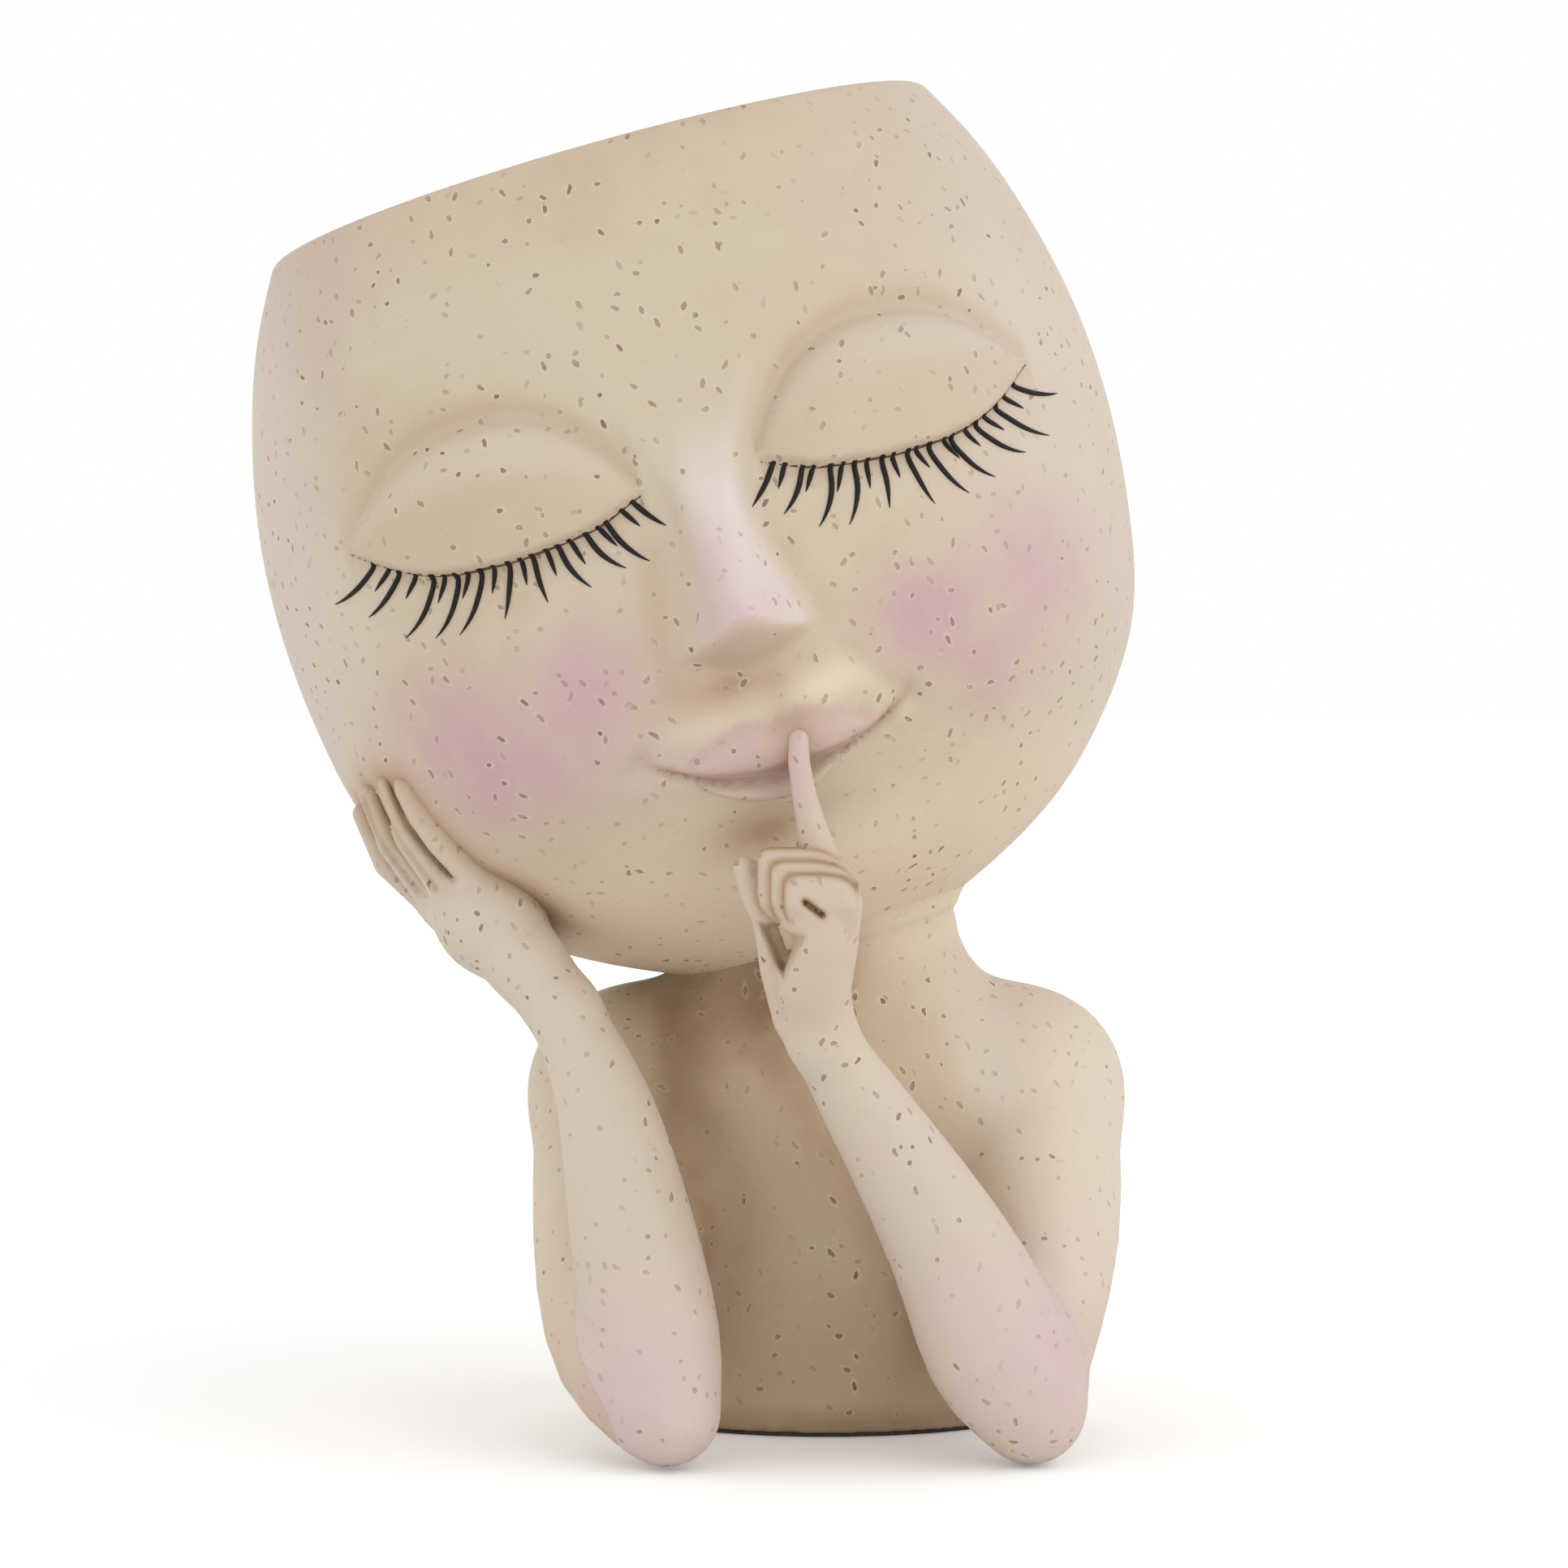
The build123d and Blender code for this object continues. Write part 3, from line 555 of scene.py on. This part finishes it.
class Value:
    def __init__(self, tree, socket):
        self.tree, self.socket = tree, socket

    def make(self, kind, inputs, out=0, **settings):
        node = self.tree.nodes.new(kind)
        for name, setting in settings.items():
            setattr(node, name, setting)
        for key, value in inputs.items():
            if isinstance(value, Value):
                self.tree.links.new(value.socket, node.inputs[key])
            else:
                node.inputs[key].default_value = value
        return Value(self.tree, node.outputs[out])

    def sum(self, operation, *others):
        return self.make("ShaderNodeMath", dict(enumerate((self,) + others)), operation=operation)

    def __add__(self, other):
        return self.sum("ADD", other)

    def __sub__(self, other):
        return self.sum("SUBTRACT", other)

    def __rsub__(self, other):
        return self.make("ShaderNodeMath", {0: other, 1: self}, operation="SUBTRACT")

    def __mul__(self, other):
        return self.sum("MULTIPLY", other)

    def step(self, low, high):  # soft step from low to high
        return self.make("ShaderNodeMapRange", {0: self, 1: low, 2: high}, interpolation_type="SMOOTHSTEP")

    def mix(self, first, second):  # colours by this share
        return self.make("ShaderNodeMix", {0: self, 6: first, 7: second}, out=2, data_type="RGBA")


def newMaterial(name):
    material = bpy.data.materials.new(name)
    material.use_nodes = True
    tree = material.node_tree
    shader = tree.nodes["Principled BSDF"]
    place = Value(tree, tree.nodes.new("ShaderNodeTexCoord").outputs["Object"])
    return material, shader, place


def feed(shader, **inputs):
    for name, value in inputs.items():
        place = shader.inputs[name.replace("_", " ")]
        if isinstance(value, Value):
            value.tree.links.new(value.socket, place)
        else:
            place.default_value = value


def noise(place, scale, detail=2.0, out=0):
    return place.make("ShaderNodeTexNoise", {"Vector": place, "Scale": scale, "Detail": detail}, out=out)


def flecks(place, cell, length, width, share):  # short pits in the surface that point every way
    spot = {"Vector": place, "Scale": 1 / (cell * mm), "Randomness": 1.0}
    centre = place.make("ShaderNodeTexVoronoi", spot, out="Position")
    colour = place.make("ShaderNodeTexVoronoi", spot, out="Color")
    normal = place.make("ShaderNodeTexCoord", {}, out="Normal")

    def vector(operation, *parts, out=0):
        return place.make("ShaderNodeVectorMath", dict(enumerate(parts)), out=out, operation=operation)

    def scaled(arrow, factor):
        return place.make("ShaderNodeVectorMath", {0: arrow, "Scale": factor}, operation="SCALE")

    def flatten(arrow):  # the part of an arrow that lies in the surface
        lift = vector("DOT_PRODUCT", arrow, normal, out="Value")
        return vector("SUBTRACT", arrow, scaled(normal, lift)), lift

    wobble = place.make("ShaderNodeTexNoise", {"Vector": place, "Scale": 1400.0, "Detail": 1.0}, out="Color")
    bent = vector("MULTIPLY_ADD", wobble, (0.5 * mm,) * 3, vector("SUBTRACT", place, centre))
    apart, lift = flatten(vector("SUBTRACT", bent, (0.25 * mm,) * 3))
    way, _ = flatten(vector("SUBTRACT", colour, (0.5, 0.5, 0.5)))
    way = vector("NORMALIZE", way)
    along = vector("DOT_PRODUCT", apart, way, out="Value")
    aside = vector("LENGTH", vector("SUBTRACT", apart, scaled(way, along)), out="Value")
    chance, tone, stretch = (place.make("ShaderNodeSeparateColor", {0: colour}, out=name) for name in ("Red", "Green", "Blue"))
    far = along.sum("ABSOLUTE") * (1 / (length * mm))
    far = far.sum("DIVIDE", stretch * 1.1 + 0.4)
    wide = aside * (1 / (width * mm))
    reach = (far * far + wide * wide).sum("SQRT")
    keep = chance.step(share + 0.02, share - 0.02) * lift.sum("ABSOLUTE").step(0.8 * mm, 0.6 * mm)
    return reach, keep * (tone * 0.80 + 0.2)


# the edge colour is a painted highlight round the pits
resin = {
    "pale": (0.535, 0.450, 0.340, 1), "warm": (0.500, 0.410, 0.294, 1), "tan": (0.468, 0.346, 0.232, 1),
    "brown": (0.220, 0.130, 0.065, 1), "pink": (0.485, 0.295, 0.330, 1), "pit": (0.205, 0.122, 0.070, 1),
    "edge": (0.62, 0.53, 0.41, 1), "chalkAndHighlight": (0.635, 0.550, 0.515, 1), "paintedLight": (0.720, 0.600, 0.450, 1),
    "mauve": (0.500, 0.395, 0.335, 1),
}


def makeResin():
    material, shader, place = newMaterial("paintedResin")
    tree = material.node_tree

    def attribute(name):
        node = tree.nodes.new("ShaderNodeAttribute")
        node.attribute_name = name
        return Value(tree, node.outputs["Fac"])

    washAndShade, blush, chalkAndHighlight, paintedLight = (attribute(name) for name in ("washAndShade", "blush", "chalkAndHighlight", "paintedLight"))
    cloud, mottle, grain = noise(place, 28.0), noise(place, 160.0, 3.0), noise(place, 900.0, 2.0)
    colour = (cloud * 0.7 + mottle * 0.3).step(0.38, 0.62).mix(resin["pale"], resin["warm"])
    colour = (noise(place, 19.0, 3.0).step(0.54, 0.68) * 0.7).mix(colour, resin["mauve"])
    # pale paint and painted highlight
    colour = (chalkAndHighlight * (mottle * 0.6 + 0.7)).sum("MINIMUM", 1.0).mix(colour, resin["chalkAndHighlight"])
    # painted light
    colour = paintedLight.mix(colour, resin["paintedLight"])
    depth = washAndShade * (mottle * 0.4 + 0.8)
    colour = (depth * 2.0).sum("MINIMUM", 1.0).mix(colour, resin["tan"])  # thin wash and painted shade are tan, thick ones brown
    colour = (depth * 2.0 - 1.0).make("ShaderNodeClamp", {0: depth * 2.0 - 1.0}).mix(colour, resin["brown"])
    colour = (blush * (mottle.step(0.3, 0.62) * 0.35 + 0.72)).sum("MINIMUM", 1.0).mix(colour, resin["pink"])
    cluster = noise(place, 55.0).step(0.40, 0.60)
    reach, keep = flecks(place, 2.7, 0.54, 0.30, 0.72)
    pit = reach.step(1.15, 0.6) * keep * (cluster * 0.6 + 0.4) * (1.0 - chalkAndHighlight * 0.3)
    # painted highlight: a pale ring round each pit, as on a lit rim
    edge = reach.step(2.4, 1.0) * keep * cluster
    colour = (edge * 0.50).mix(colour, resin["edge"])
    colour = pit.sum("MINIMUM", 0.95).mix(colour, resin["pit"])
    height = grain * 0.32 + mottle * 0.30 - pit
    bump = place.make("ShaderNodeBump", {"Height": height, "Strength": 0.80, "Distance": 0.0004})
    feed(shader, Base_Color=colour, Roughness=grain * 0.16 + 0.50, Normal=bump, Specular_IOR_Level=0.35)
    return material


def makePlain(name, colour, dark, rough, scale):
    material, shader, place = newMaterial(name)
    speck = noise(place, scale, 4.0)
    feed(shader, Base_Color=speck.step(0.3, 0.7).mix(dark, colour), Roughness=speck * 0.2 + rough)
    bump = place.make("ShaderNodeBump", {"Height": speck, "Strength": 0.4, "Distance": 0.0003})
    feed(shader, Normal=bump, Specular_IOR_Level=0.3)
    return material


paint = makeResin()
lashInk = makePlain("lashInk", (0.013, 0.010, 0.008, 1), (0.007, 0.006, 0.005, 1), 0.65, 1500.0)
lineInkAndShade = makePlain("lineInkAndShade", (0.120, 0.070, 0.040, 1), (0.060, 0.035, 0.020, 1), 0.6, 1500.0)
foam = makePlain("padFoam", (0.075, 0.060, 0.050, 1), (0.040, 0.032, 0.026, 1), 0.75, 900.0)
stopper = makePlain("plugRubber", (0.17, 0.145, 0.125, 1), (0.11, 0.095, 0.08, 1), 0.5, 700.0)
sheet = makePlain("plateSheet", (0.30, 0.27, 0.24, 1), (0.22, 0.20, 0.18, 1), 0.5, 400.0)
tube = makePlain("sleeveTube", (0.52, 0.50, 0.47, 1), (0.44, 0.42, 0.40, 1), 0.45, 500.0)
pin = makePlain("dowelWood", (0.60, 0.44, 0.28, 1), (0.45, 0.31, 0.19, 1), 0.6, 300.0)
print("materials made")


def dress(piece, material, node):
    piece.data.materials.clear()
    piece.data.materials.append(material)
    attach(piece, "planter")
    if node:
        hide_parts(node)


# Head pot

blushSpots = (  # head frame: x, z, size across, size along, strength
    (-42.0, -73.5, 10, 9, 0.62), (-22.0, -72.5, 8, 8, 0.66), (-35.5, -83.5, 10, 7, 0.55),
    (25.0, -75.5, 7.5, 7, 0.84), (42.5, -73.5, 9, 10, 0.60), (33.0, -86.0, 8, 6, 0.46),
    (-2.0, -62.0, 4.0, 8, 0.34), (1.0, -69.0, 6, 3, 0.30),
)


def facePaint(local):
    x, y, z = local.T
    front = ramp(-y, 0, 12)
    middle, low, high, up = eyeShape(x, z)
    upper, line, lower = lipEdges(x)
    side = np.abs(x - mouth["shift"])
    blush = sum(s * np.exp(-((x - a) / w) ** 2 - ((z - b) / h) ** 2) for a, b, w, h, s in blushSpots)
    lips = ramp(z, lower - 0.6, lower + 0.6) * ramp(z, upper + 0.6, upper - 0.6) * ramp(side, 16.0, 13.0)
    blush = np.maximum(blush, 0.40 * lips)
    fade = middle ** 0.4
    # painted shade: brown in the lid creases, under the lids' edges, along the mouth line, under and beside the nose
    # and under the lower lip; also darker just under the rim, low on the lids and in a patch low on one cheek
    washAndShade = 0.21 * gauss(z - high - 1.0, 2.6) * fade + 0.35 * gauss(z - low + 0.5, 1.1) * fade
    washAndShade = washAndShade + 0.80 * gauss(z - line, 0.55) * ramp(side, 20.4, 17.0)
    washAndShade = washAndShade + 0.66 * np.exp(-((x + 4) / 9) ** 2 - ((z + 77.8) / 3.0) ** 2)
    washAndShade = washAndShade + 0.66 * np.exp(-((x + 4) / 7) ** 2 - ((z + 98.6) / 3.4) ** 2)
    washAndShade = washAndShade + 0.28 * gauss(np.abs(x) - 9.5 - 2 * ramp(-z, 55, 72), 2.2) * ramp(-z, 50, 60) * ramp(-z, 79, 74) * ramp(-x, -2, 4)
    washAndShade = washAndShade + 0.10 * ramp(-z, 18, 4) * ramp(np.abs(x), 52, 30)
    washAndShade = washAndShade + 0.14 * ramp(up, 0.0, 0.1) * ramp(up, 0.8, 0.4) * fade
    noseUp, underside = noseShape(x, z)
    washAndShade = washAndShade + 0.18 * underside * ramp(noseUp, 0.8, 2.0) + 0.12 * np.exp(-((x + 34) / 12) ** 2 - ((z + 94) / 8) ** 2)
    # pale paint and painted highlight: the right side and the left edge where light falls, the tops of the lids and the
    # nose ridge
    chalkAndHighlight = 0.33 * ramp(x, 18, 55) + 0.42 * ramp(-x, 44, 60) + 0.2 * ramp(up, 0.4, 0.75) * ramp(up, 1.0, 0.9) * fade * front + np.clip(noseUp / 2.5, 0, 1) * (0.25 + 0.65 * ramp(x, -4.5, 0.0)) * (1 - underside) * front
    # painted light: the lower jaw lighter, as if lit from below, and two lit patches on the muzzle
    paintedLight = ramp(-z, 88, 112) * (np.hypot(x, y) > 18) * ramp(-y, -10, 20) * (1 - 0.3 * ramp(x, 5, 25))
    paintedLight = paintedLight + sum(s * np.exp(-((x - a) / 6.5) ** 2 - ((z - b) / 2.8) ** 2) for a, b, s in ((9, -80.8, 0.75), (-8, -82.0, 0.4))) * front
    return washAndShade * front, np.clip(blush, 0, 1) * front, np.clip(chalkAndHighlight, 0, 1), np.clip(paintedLight, 0, 1)


local, faces = headMesh()
washAndShade, blush, chalkAndHighlight, paintedLight = facePaint(local)
points = toWorld(local)
# tan towards the bottom of the head, and painted shade on the face beside the hands
jaw = 0.09 * ramp(-local[:, 2], 88, 108)
shadeBesideHands = 0.60 * gauss(np.maximum(np.minimum(forearmField(points, "right"), forearmField(points, "left")), 0), 3.0)
headPiece = addMesh("headPot", points, faces, {
    "washAndShade": np.clip(washAndShade + jaw + shadeBesideHands, 0, 1), "blush": blush, "chalkAndHighlight": chalkAndHighlight, "paintedLight": paintedLight})
dress(headPiece, paint, "head_pot")
print("head", len(faces))

# Torso and forearms

def elbowFade(points, name):  # neither wash nor painted shade on the elbow itself
    apart = points - np.array(arms[name]["stations"][0][0])
    return ramp(np.sqrt((apart * apart).sum(-1)), 16, 30)


def armBlush(points):
    spots = (((-27, -53, 11), 13, 0.40), ((31, -50, 16), 14, 0.42), ((-4.5, -59.5, 102), 3.5, 0.45), ((-4, -61, 96), 3.5, 0.40))
    return sum(s * gauss(np.sqrt(((points - np.array(c)) ** 2).sum(-1)), w) for c, w, s in spots)


points, faces = meshField(torsoPiece, (-50, -52, 0), (50, 30, 80), 0.8)
def behindArm(points, name, strength, reach):  # shade beside a forearm, seen from the front
    stations = arms[name]["stations"]
    gap = toLine(points, [(place[0], place[2]) for place, _ in stations]) - stations[2][1]
    return strength * gauss(np.maximum(gap, 0), reach) * elbowFade(points, name)


# painted shade on the bust: brown beside the forearms and under the head; the front of the chest between the arms
# darker, partly wash and partly painted shade; also darker towards the bottom at the front
shadeBesideArms = behindArm(points, "right", 0.50, 7.0) * ramp(points[:, 2], 14, 30) + behindArm(points, "left", 0.30, 4.5)
shadeUnderHead = 0.42 * gauss(np.maximum(headField(points), 0), 13.0) * ramp(points[:, 0], 8, -2)
front = ramp(-points[:, 1], 2, 14) * ramp(np.abs(points[:, 0] + 4), 26, 14)
front = front * (1 - 0.8 * ramp(points[:, 2], 38, 50) * ramp(points[:, 0], 0, 8))
hem = (0.30 * ramp(points[:, 2], 6, 1) + 0.22 * ramp(points[:, 2], 30, 8)) * ramp(-points[:, 1], 0, 10)
washAndShade = (shadeBesideArms + shadeUnderHead) * ramp(-points[:, 1], 0, 10) * ramp(np.abs(points[:, 0]), 34, 22) + 0.25 * front + hem
washAndShade = np.clip(washAndShade, 0, 1)
# pale paint and painted highlight on the right of the bust and a little on the left, more on the pink of the elbows
chalkAndHighlight = 0.4 * ramp(points[:, 0], 14, 26) + 0.13 * ramp(-points[:, 0], 22, 34)
# painted light: the neck just under the head and the shoulders made lighter
paintedLight = 0.5 * gauss(np.maximum(headField(points), 0), 5.0) * ramp(points[:, 0], -4, 8)
paintedLight = paintedLight + 0.25 * ramp(np.abs(points[:, 0]), 20, 34)
torsoObject = addMesh("bust", points, faces, {"washAndShade": washAndShade, "blush": armBlush(points) * 0.9, "chalkAndHighlight": chalkAndHighlight + 0.8 * armBlush(points), "paintedLight": paintedLight})
dress(torsoObject, paint, "torso")
print("torso", len(faces))

for name, low, high, voxel in (("right", (-74, -64, -2), (-10, 6, 100), 0.5), ("left", (-20, -78, -2), (42, -30, 108), 0.5)):
    points, faces = meshField(forearmPiece(name), low, high, voxel)
    # painted shade where a forearm meets the bust or the head, with the hand's creases; the fist's arm darker towards
    # the wrist
    gap = np.maximum(np.minimum(torsoField(points), headField(points)), 0)
    washAndShade = 0.50 * gauss(gap, 1.8) * elbowFade(points, name) + handWashAndShade(points, name) + 0.20 * ramp(points[:, 2], 58, 68) * (name == "left")
    # pale paint and painted highlight all over the forearms, more on the pink of elbows and fingertips
    chalkAndHighlight = np.clip(0.32 + 0.8 * armBlush(points), 0, 1)
    arm = addMesh(name + "Forearm", points, faces, {"washAndShade": np.clip(washAndShade, 0, 1), "blush": armBlush(points), "chalkAndHighlight": chalkAndHighlight})
    dress(arm, paint, name + "_forearm")
    print(name, len(faces))

# Lashes and lash lines: strokes on the face, given their body by nodes

lash = {
    "first": 10.2, "last": 46.6, "count": 21, "thick": 0.48, "line": 0.25, "seed": 4,
    "at": (10, 15, 20, 24, 26, 30, 35, 40, 43, 46.6), "start": (-28, -10, 0, 2, 2, 3, 6, 13, 27, 38),
    "end": (-46, -54, -48, -20, 0, 40, 60, 67, 69, 84), "long": (6.4, 8.2, 8.5, 7.8, 7.6, 9.4, 10.0, 9.6, 8.8, 8.0), "short": 3.9,
}


def lashStrokes():
    rng = random.Random(lash["seed"])
    strokes = []
    for side in (-1, 1):
        for i, x in enumerate(np.linspace(lash["first"], lash["last"], lash["count"])):
            x = x + rng.uniform(-0.35, 0.35)
            long = i % 2 == 0
            length, start, end = (float(np.interp(x, lash["at"], lash[name])) for name in ("long", "start", "end"))
            length = (length if long else lash["short"]) * rng.uniform(0.9, 1.1)
            lean = rng.uniform(-5, 5)
            z = float(lashLine(x)) - 0.1
            stroke = []
            for t in np.linspace(0, 1, 11):
                angle = math.radians(start + lean + (end - start) * (t if long else 0.35 + 0.15 * t))
                step = length / 10 if t > 0 else 0
                x, z = x + step * math.sin(angle), z - step * math.cos(angle)
                body = 0.72 + 0.9 * t * (1 - t) - 0.62 * t ** 2.2
                stroke.append((side * x, z, lash["thick"] * max(body, 0.08) * (1 if long else 0.9)))
            strokes.append(stroke)
    return strokes


# brown line just under each lid's edge: a painted line, and dark also for the shade under the lid's step
def lineStrokes():
    strokes = []
    for side in (-1, 1):
        stroke = []
        for x in np.linspace(eye["ends"][0] + 0.6, eye["ends"][1] - 0.2, 70):
            share = (x - eye["ends"][0]) / (eye["ends"][1] - eye["ends"][0])
            width = lash["line"] * (0.35 + 0.9 * math.sin(math.pi * min(max(share, 0), 1)) ** 0.5)
            stroke.append((side * x, float(lashLine(x)) - 0.3, width))
        strokes.append(stroke)
    return strokes


def strokeNodes(material):  # edges with a radius become round strokes
    group = bpy.data.node_groups.new("strokes", "GeometryNodeTree")
    group.interface.new_socket("Geometry", in_out="INPUT", socket_type="NodeSocketGeometry")
    group.interface.new_socket("Geometry", in_out="OUTPUT", socket_type="NodeSocketGeometry")
    make = group.nodes.new
    start, end = make("NodeGroupInput"), make("NodeGroupOutput")
    curve, radius, ring = make("GeometryNodeMeshToCurve"), make("GeometryNodeInputNamedAttribute"), make("GeometryNodeCurvePrimitiveCircle")
    body, real, ink = make("GeometryNodeCurveToMesh"), make("GeometryNodeRealizeInstances"), make("GeometryNodeSetMaterial")
    radius.data_type = "FLOAT"
    radius.inputs["Name"].default_value = "width"
    ring.inputs["Resolution"].default_value = 8
    ring.inputs["Radius"].default_value = 1.0
    body.inputs["Fill Caps"].default_value = True
    ink.inputs["Material"].default_value = material
    link = group.links.new
    link(start.outputs[0], curve.inputs["Mesh"])
    link(curve.outputs["Curve"], body.inputs["Curve"])
    link(ring.outputs["Curve"], body.inputs["Profile Curve"])
    link(radius.outputs["Attribute"], body.inputs["Scale"])
    link(body.outputs["Mesh"], real.inputs["Geometry"])
    link(real.outputs["Geometry"], ink.inputs["Geometry"])
    link(ink.outputs["Geometry"], end.inputs[0])
    return group


def addStrokes(name, strokes, material, lift):
    points, edges, widths = [], [], []
    for stroke in strokes:
        x, z, width = (np.array(column) for column in zip(*stroke))
        first = len(points)
        points += toWorld(onFace(x, z, lift)).tolist()
        widths += (width * mm).tolist()
        edges += [(first + i, first + i + 1) for i in range(len(stroke) - 1)]
    mesh = bpy.data.meshes.new(name)
    mesh.from_pydata((np.array(points) * mm).tolist(), edges, [])
    mesh.attributes.new("width", "FLOAT", "POINT").data.foreach_set("value", widths)
    piece = bpy.data.objects.new(name, mesh)
    scene.collection.objects.link(piece)
    piece.modifiers.new("strokes", "NODES").node_group = strokeNodes(material)
    solid = bpy.data.meshes.new_from_object(piece.evaluated_get(bpy.context.evaluated_depsgraph_get()))
    piece.modifiers.clear()
    piece.data = solid
    solid.shade_smooth()
    dress(piece, material, None)
    return piece


addStrokes("lashes", lashStrokes(), lashInk, 0.05)
addStrokes("lashLines", lineStrokes(), lineInkAndShade, 0.0)
print("lashes drawn")

# CAD pieces that stay

for node, material in (("neck_sleeve", tube), ("right_elbow_dowel", pin), ("left_elbow_dowel", pin),
                       ("base_plate", sheet), ("base_pad", foam), ("drain_plug", stopper)):
    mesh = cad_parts[node].data
    mesh.materials.clear()
    mesh.materials.append(material)
print("kept pieces dressed")

# Stage: floor, light and camera

floorMaterial, floorShader, floorPlace = newMaterial("floor")
onCamera = floorPlace.make("ShaderNodeLightPath", {}, out="Is Camera Ray")
feed(floorShader, Base_Color=(0.96, 0.96, 0.96, 1), Roughness=0.9, Emission_Color=onCamera, Emission_Strength=0.12)
floorMesh = bpy.data.meshes.new("floor")
floorMesh.from_pydata([(-6, -6, 0), (6, -6, 0), (6, 6, 0), (-6, 6, 0)], [], [(0, 1, 2, 3)])
floor = bpy.data.objects.new("floor", floorMesh)
floor.data.materials.append(floorMaterial)
scene.collection.objects.link(floor)

studioLight = 0.81
world = bpy.data.worlds.new("studio")
scene.world = world
world.use_nodes = True
backdrop, seen = world.node_tree.nodes["Background"], world.node_tree.nodes.new("ShaderNodeLightPath")
direct, gloss, clear = (Value(world.node_tree, seen.outputs["Is %s Ray" % kind]) for kind in ("Camera", "Glossy", "Transmission"))
backdropWhite = direct.sum("MAXIMUM", gloss).sum("MAXIMUM", clear)  # what is seen is white, what lights is a little less
feed(backdrop, Color=(1, 1, 1, 1), Strength=backdropWhite * (1 - studioLight) + studioLight)


def addSun(name, place, power, spread):
    data = bpy.data.lights.new(name, "SUN")
    data.energy, data.angle = power, math.radians(spread)
    lamp = bpy.data.objects.new(name, data)
    lamp.rotation_euler = Vector([-part for part in place]).to_track_quat("-Z", "Y").to_euler()
    scene.collection.objects.link(lamp)


def addPanel(name, place, target, power, size):  # soft card low in front
    data = bpy.data.lights.new(name, "AREA")
    data.energy, data.shape, data.size, data.size_y = power, "RECTANGLE", size[0], size[1]
    lamp = bpy.data.objects.new(name, data)
    lamp.location = place
    lamp.rotation_euler = (Vector(target) - Vector(place)).to_track_quat("-Z", "Y").to_euler()
    lamp.visible_camera = False
    scene.collection.objects.link(lamp)


addSun("key", (0.85, -0.45, 0.40), 1.25, 80.0)
addSun("rim", (-0.9, -0.25, 0.2), 0.85, 80.0)
addPanel("low", (0.02, -0.33, 0.03), (0.0, -0.03, 0.085), 0.14, (0.5, 0.2))

cameraData = bpy.data.cameras.new("camera")
cameraData.sensor_width = 36.0
cameraData.lens = 97.79
camera = bpy.data.objects.new("camera", cameraData)
camera.location = (-0.00634, -0.640, 0.116)
camera.rotation_euler = (math.radians(90 - 1.95), 0, 0)
scene.collection.objects.link(camera)
scene.camera = camera
print("stage set")
